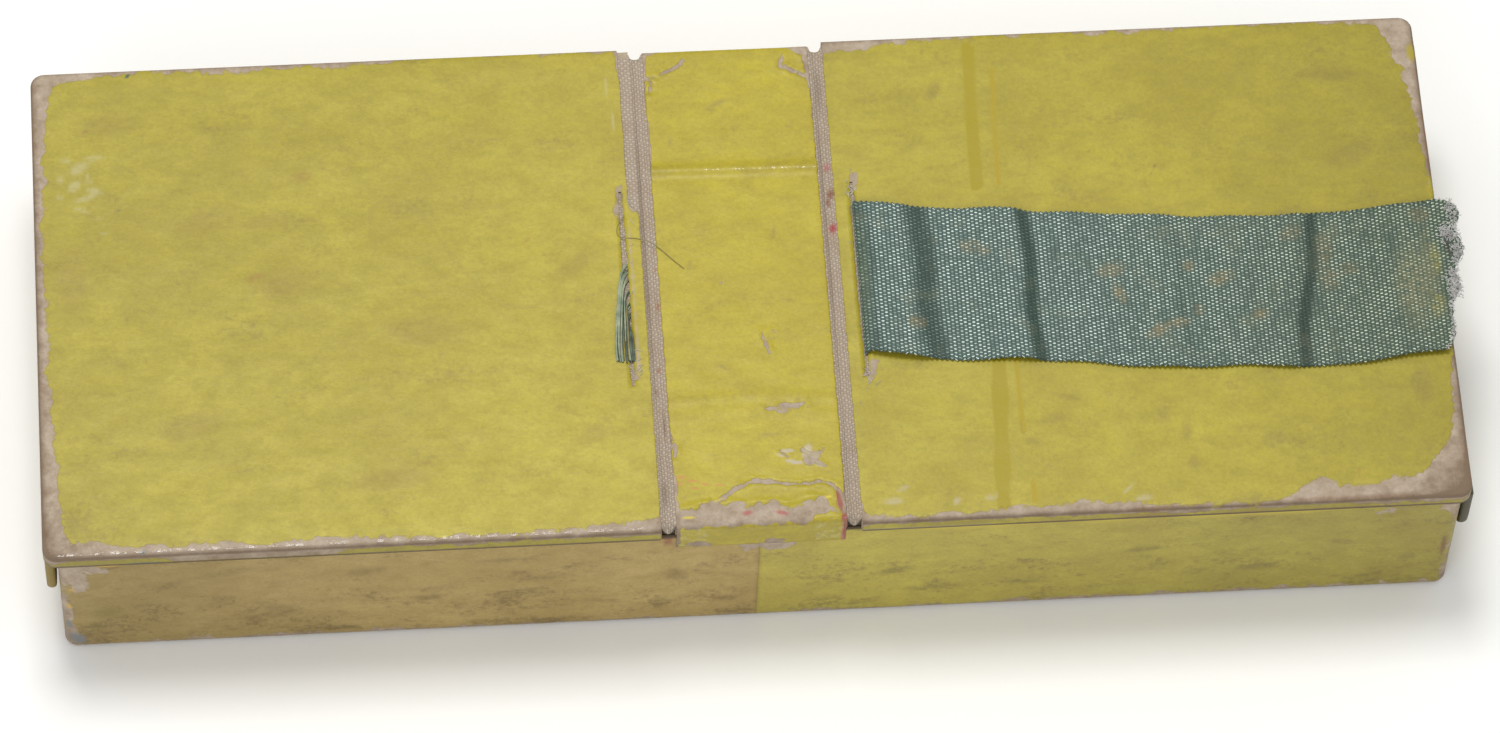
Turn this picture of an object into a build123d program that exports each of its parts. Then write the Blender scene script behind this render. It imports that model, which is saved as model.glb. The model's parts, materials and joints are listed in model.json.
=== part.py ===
"""Paper-covered card case for a service medal.

A shallow tray carries a fixed bridge across its middle, with a lid on either side of it. Each lid opens
on a cloth hinge in the groove beside the bridge, and has a flap that hangs over the tray's end. A ribbon
comes out of a slit in the right lid; of the left lid's ribbon only the glued tail and a tuft of threads
are left. Inside, each compartment has a fitted bed with a recess for a medal.

+X is to the right along the case, +Y to the back and +Z up. The origin is on the underside, below the
middle of the bridge. Sizes are in millimetres and angles in degrees.
"""

import os
from math import cos, radians, sin

from build123d import *

# Sheet thicknesses
paper = 0.2  # covering and lining paper
cloth = 0.35  # hinge cloth
velvet = 0.5
ribbon_thick = 0.4
lid_board_thick = 2.5  # also the bridge's board
wall_thick = 2.0
base_thick = 2.0
flap_board_thick = 1.0
stay_thick = 0.15  # gummed tape at the tray's corners

# Tray
tray_length = 199.8  # over its covering paper
tray_depth = 79.0
tray_shift = 0.5  # how far the hand-made tray sits to the right of the lids
wall_top = 25.1  # top of the wall boards
tray_corner = 1.5  # radius of the wall boards' upright corners
partition_thick = 3.6
turn_in = 8.0  # how far a covering paper is turned over an edge
stay_leg = 9.0
stay_short = 3.0  # from a stay's end to the board's edge
base_paper_inset = 2.0

# Lids, bridge and hinges
end_overhang = 1.5  # of the lids past half the tray's length
side_overhang = 0.8  # of the lids past the tray's front and back
bridge_width = 24.4
groove = 2.0  # open joint between the bridge and a lid
cloth_hold = 8.0  # cloth glued to the board on each side of the groove
lid_corner = 1.8
edge_round = 0.5  # of the boards' top edges
hinge_gap = 0.08  # between the bead on the lid's hinge cloth and the bridge's half
skirt_drop = 3.0  # how far the bridge's paper reaches down over the tray's paper
lining_gap = 0.3  # between a lid's lining and its turned-in paper

# End flaps
flap_stand_off = {"left": 0.5, "right": 0.3}  # from the tray's end
flap_drop = 12.0
flap_set_back = 2.0  # from the lid's front and back edges
flap_corner = 5.0
flap_clear = 0.05  # between the flap's rounded top and the lid

# Slits and ribbon
slit_from_lid = 2.6  # from the lid's inner edge to the middle of the slit
slit_spare = 7.1  # how much longer a slit is than the ribbon is wide
slit_clear = 0.5  # how much wider a slit is than the ribbon is thick
ribbon_y = -0.3  # middle of the slits and of the ribbon where it comes out
ribbon_width = 25.4
ribbon_tail = 8.0  # glued under the board
ribbon_swing = -3.3  # that the free ribbon lies off the case's length
ribbon_waves = [  # distance from the slit, height of the underside above the lid: its humps and old folds
    (0.0, 0.3),
    (3.0, 1.2),
    (6.5, 1.1),
    (9.2, 0.15),
    (14.0, 0.3),
    (21.5, 0.8),
    (24.3, 0.15),
    (45.0, 0.5),
    (62.0, 0.8),
    (65.0, 0.15),
    (83.0, 0.9),
    (87.0, 0.6),
]
ribbon_bend = 1.2  # radius of its bends
thread_count = 7
thread_radius = 0.2
thread_top = 4.0  # Y where the first of the torn threads leaves its slit
thread_end = -12.5  # Y of their cut ends
thread_step = 0.9  # along the slit from one thread to the next
thread_spread = 2.4  # width of the tuft at its cut end
thread_bow = 0.6

# Fitted beds
bed_clear = 0.3  # around the bed
bed_height = 9.0  # of the risers
riser_thick = 4.0
bed_board_thick = 3.0
backing_thick = 1.0
backing_margin = 4.0  # around the recess
medal_radius = 18.5  # of the recess, inside the velvet
medal_ribbon_width = 33.0
medal_ribbon_length = 36.0  # from the middle of the medal
medal_ribbon_depth = 1.5

# Levels, from the underside up
wall_bottom = 2 * paper  # the base paper and the wrap's turned-under edge lie below the boards
floor_top = wall_bottom + base_thick
rim_top = wall_top + paper
turn_in_foot = wall_top - turn_in
board_bottom = rim_top + paper
board_top = board_bottom + lid_board_thick
case_top = board_top + paper
bed_bottom = floor_top + paper + bed_height
bed_top = bed_bottom + bed_board_thick

# Places that follow from the sizes above
board_length = tray_length - 2 * paper  # over the tray's wall boards
board_depth = tray_depth - 2 * paper
lid_edge = tray_length / 2 + end_overhang
lid_depth = tray_depth + 2 * side_overhang
inner_depth = board_depth - 2 * wall_thick
bridge_edge = bridge_width / 2
lid_inner = bridge_edge + groove
hinge_x = bridge_edge + groove / 2
hinge_z = board_top - cloth / 2
cloth_depth = board_depth - 2 * edge_round
slit_x = lid_inner + slit_from_lid
slit_length = ribbon_width + slit_spare
slit_width = ribbon_thick + slit_clear
partition_inner = hinge_x - partition_thick / 2
partition_outer = hinge_x + partition_thick / 2
flap_half = flap_board_thick / 2 + paper
flap_z = rim_top - flap_half - flap_clear
flap_depth = lid_depth - 2 * flap_set_back - 2 * paper

SIDES = {"left": -1, "right": 1}


def tray_end(side):
    """X of the tray's outer face at that end."""
    return side * tray_length / 2 + tray_shift


def inner_end(side):
    """X of the end wall board's inner face."""
    return tray_end(side) - side * (paper + wall_thick)


def block(x, y, z, mode=Mode.ADD):
    """A box that spans the given pairs of X, Y and Z, each in either order."""
    middle = [(a + b) / 2 for a, b in (x, y, z)]
    size = [abs(b - a) for a, b in (x, y, z)]
    with Locations(tuple(middle)):
        Box(*size, mode=mode)


def save(piece, name):
    piece.part.label = name
    export_step(piece.part, f"parts/{name}.step")


# --- Tray -----------------------------------------------------------------------------------------


def corner_stays():
    """Four L-shaped tapes, pressed flush into the wall boards' corners."""
    with BuildPart() as stays:
        with BuildSketch(Plane.XY.offset(wall_bottom + stay_short)):
            with Locations((tray_shift, 0)):
                RectangleRounded(board_length, board_depth, tray_corner)
                inset = 2 * stay_thick
                RectangleRounded(
                    board_length - inset, board_depth - inset, tray_corner - stay_thick, mode=Mode.SUBTRACT
                )
                Rectangle(board_length - 2 * stay_leg, board_depth, mode=Mode.SUBTRACT)
                Rectangle(board_length, board_depth - 2 * stay_leg, mode=Mode.SUBTRACT)
        extrude(amount=wall_top - wall_bottom - 2 * stay_short)
    return stays


def long_wall(face, stays):
    """The front wall (face -1) or back wall (face 1), which holds the rounded corners."""
    with BuildPart() as wall:
        with BuildSketch(Plane.XY.offset(wall_bottom)):
            with Locations((tray_shift, 0)):
                RectangleRounded(board_length, board_depth, tray_corner)
            with Locations((tray_shift, face * (board_depth - wall_thick) / 2)):
                Rectangle(board_length, wall_thick, mode=Mode.INTERSECT)
        extrude(amount=wall_top - wall_bottom)
        add(stays.part, mode=Mode.SUBTRACT)
    return wall


def end_wall(side, stays):
    with BuildPart() as wall:
        outer = tray_end(side) - side * paper
        block((inner_end(side), outer), (-inner_depth / 2, inner_depth / 2), (wall_bottom, wall_top))
        add(stays.part, mode=Mode.SUBTRACT)
    return wall


def base_board():
    with BuildPart() as board:
        half = inner_depth / 2
        block((inner_end(-1), inner_end(1)), (-half, half), (wall_bottom, floor_top))
    return board


def base_paper():
    with BuildPart() as sheet:
        half = tray_depth / 2 - base_paper_inset
        ends = (tray_end(-1) + base_paper_inset, tray_end(1) - base_paper_inset)
        block(ends, (-half, half), (0, paper))
    return sheet


def partition(side):
    """Stands under a groove, so that the bridge and the lid's hinge edge both rest on it."""
    with BuildPart() as wall:
        half = inner_depth / 2
        block((side * partition_inner, side * partition_outer), (-half, half), (floor_top, rim_top))
    return wall


def tray_paper(side):
    """Covers one half of the tray: turned under the base, up the walls, over the rim and down inside."""
    half = inner_depth / 2
    inner = half - paper
    lip = tray_depth / 2 - turn_in
    end = inner_end(side)
    with BuildPart() as skin:
        with BuildSketch(Plane.XY.offset(paper)):
            with Locations((tray_shift, 0)):
                RectangleRounded(tray_length, tray_depth, tray_corner + paper)
            with Locations((side * tray_length / 2, 0)):
                Rectangle(tray_length, tray_depth, mode=Mode.INTERSECT)
        extrude(amount=rim_top - paper)
        with BuildSketch(Plane.XY.offset(wall_bottom)):
            with Locations((tray_shift, 0)):
                RectangleRounded(board_length, board_depth, tray_corner)
        extrude(amount=wall_top - wall_bottom, mode=Mode.SUBTRACT)
        block((0, tray_end(side) - side * turn_in), (-lip, lip), (paper, wall_bottom), Mode.SUBTRACT)
        block((0, end), (-half, half), (wall_top, rim_top), Mode.SUBTRACT)
        start = side * partition_outer
        block((start, end), (-half, half), (turn_in_foot, rim_top))
        block((start, end - side * paper), (-inner, inner), (turn_in_foot, rim_top), Mode.SUBTRACT)
    return skin


def compartment_lining(side):
    """Lines a compartment's floor and walls up to the turned-in paper, and its partition to the top."""
    half = inner_depth / 2
    inner = half - paper
    start = side * partition_outer
    end = inner_end(side)
    with BuildPart() as skin:
        block((start, end), (-half, half), (floor_top, turn_in_foot))
        block((start, end - side * paper), (-inner, inner), (turn_in_foot, wall_top))
        inside = (start + side * paper, end - side * paper)
        block(inside, (-inner, inner), (floor_top + paper, wall_top), Mode.SUBTRACT)
    return skin


# --- Fitted beds ----------------------------------------------------------------------------------


def bed_span(side):
    """X of the bed's two ends."""
    start = side * (partition_outer + paper + bed_clear)
    return start, inner_end(side) - side * (paper + bed_clear)


def bed_middle(side):
    return sum(bed_span(side)) / 2


bed_half = inner_depth / 2 - paper - bed_clear
medal_y = (medal_radius - medal_ribbon_length) / 2  # which puts the whole recess in the middle
recess_radius = medal_radius + velvet
channel_half = medal_ribbon_width / 2 + velvet
channel_end = medal_y + medal_ribbon_length + velvet
channel_floor = bed_top - medal_ribbon_depth - velvet


def bed_risers(side):
    with BuildPart() as risers:
        for face in (-1, 1):
            depth = (face * bed_half, face * (bed_half - riser_thick))
            block(bed_span(side), depth, (floor_top + paper, bed_bottom))
    return risers


def bed_board(side):
    """Cut through for the medal and part-way for its ribbon."""
    x = bed_middle(side)
    with BuildPart() as board:
        block(bed_span(side), (-bed_half, bed_half), (bed_bottom, bed_top))
        with Locations((x, medal_y, bed_top)):
            Hole(recess_radius)
        channel = (x - channel_half, x + channel_half)
        block(channel, (medal_y, channel_end), (channel_floor, bed_top), Mode.SUBTRACT)
    return board


def bed_backing(side):
    """Card glued under the bed board, which makes the recess's floor."""
    x = bed_middle(side)
    reach = recess_radius + backing_margin
    near = max(medal_y - reach, riser_thick - bed_half)
    with BuildPart() as card:
        block((x - reach, x + reach), (near, medal_y + reach), (bed_bottom - backing_thick, bed_bottom))
    return card


def bed_velvet(side):
    """Velvet over the bed board, pressed into the recess and the ribbon's channel."""
    x = bed_middle(side)
    with BuildPart() as cover:
        block(bed_span(side), (-bed_half, bed_half), (bed_top, bed_top + velvet))
        channel = (x - channel_half, x + channel_half)
        block(channel, (medal_y, channel_end), (channel_floor, bed_top))
        with Locations((x, medal_y, (bed_bottom + bed_top) / 2)):
            Cylinder(recess_radius, bed_board_thick)
        pressed = (x - channel_half + velvet, x + channel_half - velvet)
        top = bed_top + velvet
        block(pressed, (medal_y, channel_end - velvet), (channel_floor + velvet, top), Mode.SUBTRACT)
        with Locations((x, medal_y, (bed_bottom + velvet + top) / 2)):
            Cylinder(medal_radius, top - bed_bottom - velvet, mode=Mode.SUBTRACT)
    return cover


# --- Bridge ---------------------------------------------------------------------------------------


def bridge_cloth(side):
    """The bridge's half of a hinge cloth, let into the board and reaching almost to the hinge line."""
    with BuildPart() as leaf:
        span = (side * (bridge_edge - cloth_hold), side * (hinge_x - cloth / 2 - hinge_gap))
        block(span, (-cloth_depth / 2, cloth_depth / 2), (board_top - cloth, board_top))
    return leaf


def bridge_block():
    """The bridge's board before it is let in for the cloth."""
    with BuildPart() as board:
        block((-bridge_edge, bridge_edge), (-board_depth / 2, board_depth / 2), (board_bottom, board_top))
        fillet(board.edges().filter_by(Axis.X).group_by(Axis.Z)[-1], edge_round)
    return board


def bridge_board(cloths):
    with BuildPart() as board:
        add(bridge_block().part)
        for leaf in cloths:
            add(leaf.part, mode=Mode.SUBTRACT)
    return board


def bridge_paper():
    """Covers the bridge's top and ends, and runs on down over the tray's paper."""
    with BuildPart() as skin:
        width = (-bridge_edge, bridge_edge)
        block(width, (-tray_depth / 2, tray_depth / 2), (rim_top, case_top))
        fillet(skin.edges().filter_by(Axis.X).group_by(Axis.Z)[-1], edge_round + paper)
        add(bridge_block().part, mode=Mode.SUBTRACT)
        half = board_depth / 2
        block(width, (-half, half), (rim_top, board_bottom), Mode.SUBTRACT)
        for face in (-1, 1):
            depth = (face * tray_depth / 2, face * (tray_depth / 2 + paper))
            block(width, depth, (rim_top - skirt_drop, board_bottom))
    return skin


def bridge_lining():
    with BuildPart() as sheet:
        half = board_depth / 2
        block((-bridge_edge, bridge_edge), (-half, half), (rim_top, board_bottom))
    return sheet


# --- Lids -----------------------------------------------------------------------------------------


def lid_block(side, grow=0.0):
    """A lid's board before it is cut, or the outside of its paper when it grows by the paper's thickness."""
    outer = lid_edge - paper + grow
    length = outer - lid_inner
    with BuildPart() as board:
        with BuildSketch(Plane.XY.offset(board_bottom - grow)) as plan:
            with Locations((side * (lid_inner + length / 2), 0)):
                Rectangle(length, lid_depth - 2 * paper + 2 * grow)
            fillet(plan.vertices().sort_by(Axis.X, reverse=side < 0)[-2:], lid_corner + grow)
        extrude(amount=lid_board_thick + 2 * grow)
        top = board.edges().group_by(Axis.Z)[-1].sort_by(Axis.X, reverse=side < 0)
        fillet(top[1:], edge_round + grow)
    return board


def cut_slit(side, z):
    """The slit that the ribbon's end goes down through."""
    x = side * slit_x
    ends = (ribbon_y - slit_length / 2, ribbon_y + slit_length / 2)
    block((x - slit_width / 2, x + slit_width / 2), ends, z, Mode.SUBTRACT)


def glued_tail(side):
    """The ribbon's glued end, let into the underside of the lid's board, and its rise through the slit."""
    width = (ribbon_y - ribbon_width / 2, ribbon_y + ribbon_width / 2)
    inner = side * slit_x - side * ribbon_thick / 2
    with BuildPart() as tail:
        block((inner, side * (slit_x + ribbon_tail)), width, (board_bottom, board_bottom + ribbon_thick))
        block((inner, inner + side * ribbon_thick), width, (board_bottom, case_top))
    return tail


def lid_cloth(side):
    """The lid's half of a hinge cloth, with a bead along the hinge line."""
    with BuildPart() as leaf:
        span = (side * hinge_x, side * (lid_inner + cloth_hold))
        block(span, (-cloth_depth / 2, cloth_depth / 2), (board_top - cloth, board_top))
        with Locations((side * hinge_x, 0, hinge_z)):
            Cylinder(cloth / 2, cloth_depth, rotation=(90, 0, 0))
        cut_slit(side, (board_top - cloth, board_top))
    return leaf


def lid_board(side, leaf, tail):
    with BuildPart() as board:
        add(lid_block(side).part)
        cut_slit(side, (board_bottom, board_top))
        add(leaf.part, mode=Mode.SUBTRACT)
        add(tail.part, mode=Mode.SUBTRACT)
    return board


def lid_paper(side):
    """Covers a lid's top and three edges, and is turned in underneath."""
    half = lid_depth / 2 - turn_in
    with BuildPart() as skin:
        add(lid_block(side, paper).part)
        add(lid_block(side).part, mode=Mode.SUBTRACT)
        span = (side * lid_inner, side * (lid_edge - turn_in))
        block(span, (-half, half), (rim_top, board_bottom), Mode.SUBTRACT)
        cut_slit(side, (board_top, case_top))
    return skin


def lid_lining(side):
    half = lid_depth / 2 - turn_in - lining_gap
    with BuildPart() as sheet:
        span = (side * (lid_inner + lining_gap), side * (lid_edge - turn_in - lining_gap))
        block(span, (-half, half), (rim_top, board_bottom))
    return sheet


# --- Ribbons --------------------------------------------------------------------------------------


def ribbon(tail):
    """The right lid's ribbon: its glued tail, its rise through the slit, and its free length on the lid."""
    along = (cos(radians(ribbon_swing)), sin(radians(ribbon_swing)), 0)
    side_view = Plane(origin=(slit_x, ribbon_y, case_top), x_dir=along, z_dir=(along[1], -along[0], 0))
    with BuildPart() as band:
        with BuildSketch(side_view):
            with BuildLine():
                lower = FilletPolyline(*ribbon_waves, radius=ribbon_bend)
                upper = FilletPolyline(*[(x, z + ribbon_thick) for x, z in ribbon_waves], radius=ribbon_bend)
                Line(lower @ 0, upper @ 0)
                Line(lower @ 1, upper @ 1)
            make_face()
        extrude(amount=ribbon_width / 2, both=True)
        rise = ribbon_waves[0][1] + ribbon_thick
        ends = (ribbon_y - ribbon_width / 2, ribbon_y + ribbon_width / 2)
        block((slit_x - ribbon_thick / 2, slit_x + ribbon_thick / 2), ends, (case_top, case_top + rise))
        add(tail.part)
    return band


def ribbon_threads(side):
    """Torn warp threads that come out of a slit one below the other and lie beside it, cut square."""
    z = case_top + thread_radius
    with BuildPart() as threads:
        for i in range(thread_count):
            share = i / (thread_count - 1)
            root_x = slit_x + thread_radius
            tip_x = root_x + (1 - share) * thread_spread
            root = (side * root_x, thread_top - i * thread_step, z)
            tip = (side * tip_x, thread_end, z)
            middle = (side * ((root_x + tip_x) / 2 + thread_bow), (root[1] + thread_end) / 2, z)
            with BuildLine():
                path = ThreePointArc(root, middle, tip)
            with BuildSketch(Plane(origin=path @ 0, z_dir=path % 0)):
                Circle(thread_radius)
            sweep()
    return threads


# --- End flaps ------------------------------------------------------------------------------------


def flap_x(name):
    side = SIDES[name]
    return tray_end(side) + side * (flap_stand_off[name] + flap_half)


def flap_block(name, grow=0.0):
    """A flap's board, with a round top edge on its hinge line, or the outside of its paper when it grows."""
    half = flap_board_thick / 2 + grow
    depth = flap_depth + 2 * grow
    with BuildPart() as board:
        with BuildSketch(Plane.YZ.offset(flap_x(name))) as outline:
            with Locations((0, flap_z - (flap_drop + grow) / 2)):
                Rectangle(depth, flap_drop + grow)
            fillet(outline.vertices().group_by(Axis.Y)[0], flap_corner + grow)
        extrude(amount=half, both=True)
        with Locations((flap_x(name), 0, flap_z)):
            Cylinder(half, depth, rotation=(90, 0, 0))
    return board


def flap_paper(name):
    with BuildPart() as skin:
        add(flap_block(name, paper).part)
        add(flap_block(name).part, mode=Mode.SUBTRACT)
    return skin


os.makedirs("parts", exist_ok=True)

stays = corner_stays()
save(stays, "corner_stays")
save(long_wall(-1, stays), "front_wall")
save(long_wall(1, stays), "back_wall")
save(base_board(), "base_board")
save(base_paper(), "base_paper")

cloths = [bridge_cloth(side) for side in SIDES.values()]
save(bridge_board(cloths), "bridge_board")
save(bridge_paper(), "bridge_paper")
save(bridge_lining(), "bridge_lining")

for name, side in SIDES.items():
    save(end_wall(side, stays), f"{name}_end_wall")
    save(partition(side), f"{name}_partition")
    save(tray_paper(side), f"{name}_tray_paper")
    save(compartment_lining(side), f"{name}_compartment_lining")
    save(bed_risers(side), f"{name}_bed_risers")
    save(bed_board(side), f"{name}_bed_board")
    save(bed_backing(side), f"{name}_bed_backing")
    save(bed_velvet(side), f"{name}_bed_velvet")
    save(bridge_cloth(side), f"{name}_bridge_hinge_cloth")
    leaf = lid_cloth(side)
    tail = glued_tail(side)
    save(leaf, f"{name}_lid_hinge_cloth")
    save(lid_board(side, leaf, tail), f"{name}_lid_board")
    save(lid_paper(side), f"{name}_lid_paper")
    save(lid_lining(side), f"{name}_lid_lining")
    save(flap_block(name), f"{name}_flap_board")
    save(flap_paper(name), f"{name}_flap_paper")

save(ribbon(glued_tail(1)), "right_ribbon")
save(glued_tail(-1), "left_ribbon_tail")
save(ribbon_threads(-1), "left_ribbon_threads")
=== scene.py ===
"""Looks of the paper-covered medal case: worn surface paper, pasteboard, calico hinges and a silk ribbon.

Sizes and places given here are in millimetres, as in the case's own drawing, and go through MM. +X is to the
right, +Y to the back, +Z up, with the origin under the middle of the bridge.
"""

import json
from math import cos, pi, radians, sin, sqrt

import bmesh
import bpy
import numpy as np
from mathutils import Matrix, Vector


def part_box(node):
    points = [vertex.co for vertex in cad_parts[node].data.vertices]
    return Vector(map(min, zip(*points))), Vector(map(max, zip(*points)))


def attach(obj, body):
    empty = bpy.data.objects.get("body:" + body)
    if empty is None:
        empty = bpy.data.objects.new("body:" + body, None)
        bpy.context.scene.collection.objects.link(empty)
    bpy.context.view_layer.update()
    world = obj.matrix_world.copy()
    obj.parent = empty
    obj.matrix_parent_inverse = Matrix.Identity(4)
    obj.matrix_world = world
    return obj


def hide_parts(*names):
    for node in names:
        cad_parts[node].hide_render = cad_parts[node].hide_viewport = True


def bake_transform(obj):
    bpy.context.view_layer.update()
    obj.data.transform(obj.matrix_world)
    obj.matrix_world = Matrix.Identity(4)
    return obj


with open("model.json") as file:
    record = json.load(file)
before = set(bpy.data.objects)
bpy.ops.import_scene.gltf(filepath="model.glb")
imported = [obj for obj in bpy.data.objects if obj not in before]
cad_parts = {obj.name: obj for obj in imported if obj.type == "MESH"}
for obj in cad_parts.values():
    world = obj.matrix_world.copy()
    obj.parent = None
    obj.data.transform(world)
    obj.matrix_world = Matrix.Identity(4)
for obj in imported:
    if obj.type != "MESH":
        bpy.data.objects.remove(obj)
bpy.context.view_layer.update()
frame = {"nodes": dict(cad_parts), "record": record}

MM = 0.001
SIDES = {"left": -1, "right": 1}
random = np.random.default_rng(7)

# ---------------------------------------------------------------- sizes read from the frame


def span(node):
    """Lowest and highest corner of a CAD node, in millimetres."""
    low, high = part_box(node)
    return np.array(low) / MM, np.array(high) / MM


def hinge_line(joint):
    """A joint's place, in millimetres."""
    return np.array([j["pos_m"] for j in frame["record"]["behaviour"]["joints"] if j["name"] == joint][0]) / MM


lid_low, lid_high = span("right_lid_paper")
LID_INNER, LID_OUTER, LID_FRONT = lid_low[0], lid_high[0], lid_low[1]
RIM, TOP = lid_low[2], lid_high[2]
BRIDGE_EDGE = span("bridge_board")[1][0]
TRAY_FRONT = span("left_tray_paper")[0][1]
TRAY_ENDS = {"left": span("left_tray_paper")[0][0], "right": span("right_tray_paper")[1][0]}
SKIRT_LOW = span("bridge_paper")[0]
BOARD_TOP = span("right_lid_board")[1][2]
CLOTH_HIGH = span("right_lid_hinge_cloth")[1]
CLOTH_IN_BRIDGE = span("right_bridge_hinge_cloth")[0][0]
WALL_THICK = span("front_wall")[1][1] - span("front_wall")[0][1]
TAIL_LOW, TAIL_HIGH = span("left_ribbon_tail")
SLIT_X = -TAIL_HIGH[0] + 0.2
SLIT_Y = (TAIL_LOW[1] + TAIL_HIGH[1]) / 2
PAPER = TOP - BOARD_TOP

# ---------------------------------------------------------------- materials

COLOURS = {"out": 2, "data_type": "RGBA"}  # a Mix node of two colours, which go in its sockets 6 and 7
EASED = {"interpolation_type": "SMOOTHSTEP"}


def linear(hex_colour, alpha=1.0):
    """An sRGB hex colour as linear RGBA."""
    parts = [int(hex_colour[i : i + 2], 16) / 255 for i in (1, 3, 5)]
    return [c / 12.92 if c <= 0.04045 else ((c + 0.055) / 1.055) ** 2.4 for c in parts] + [alpha]


def node(tree, kind, inputs=None, out=0, **settings):
    """Adds a node with its settings. inputs are values or links, by socket name or number. Gives one output."""
    made = tree.nodes.new("ShaderNode" + kind)
    for key, value in settings.items():
        setattr(made, key, value)
    for key, value in (inputs or {}).items():
        if isinstance(value, bpy.types.NodeSocket):
            tree.links.new(value, made.inputs[key])
        else:
            made.inputs[key].default_value = value
    return made.outputs[out] if made.outputs else made


def new_material(name):
    """An empty material, its tree and its object coordinates in metres."""
    material = bpy.data.materials.new(name)
    material.use_nodes = True
    tree = material.node_tree
    tree.nodes.clear()
    return material, tree, node(tree, "TexCoord", out=3)


def finished(material, shader):
    """The material, with a shader on its output."""
    node(material.node_tree, "OutputMaterial", {"Surface": shader})
    return material


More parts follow.
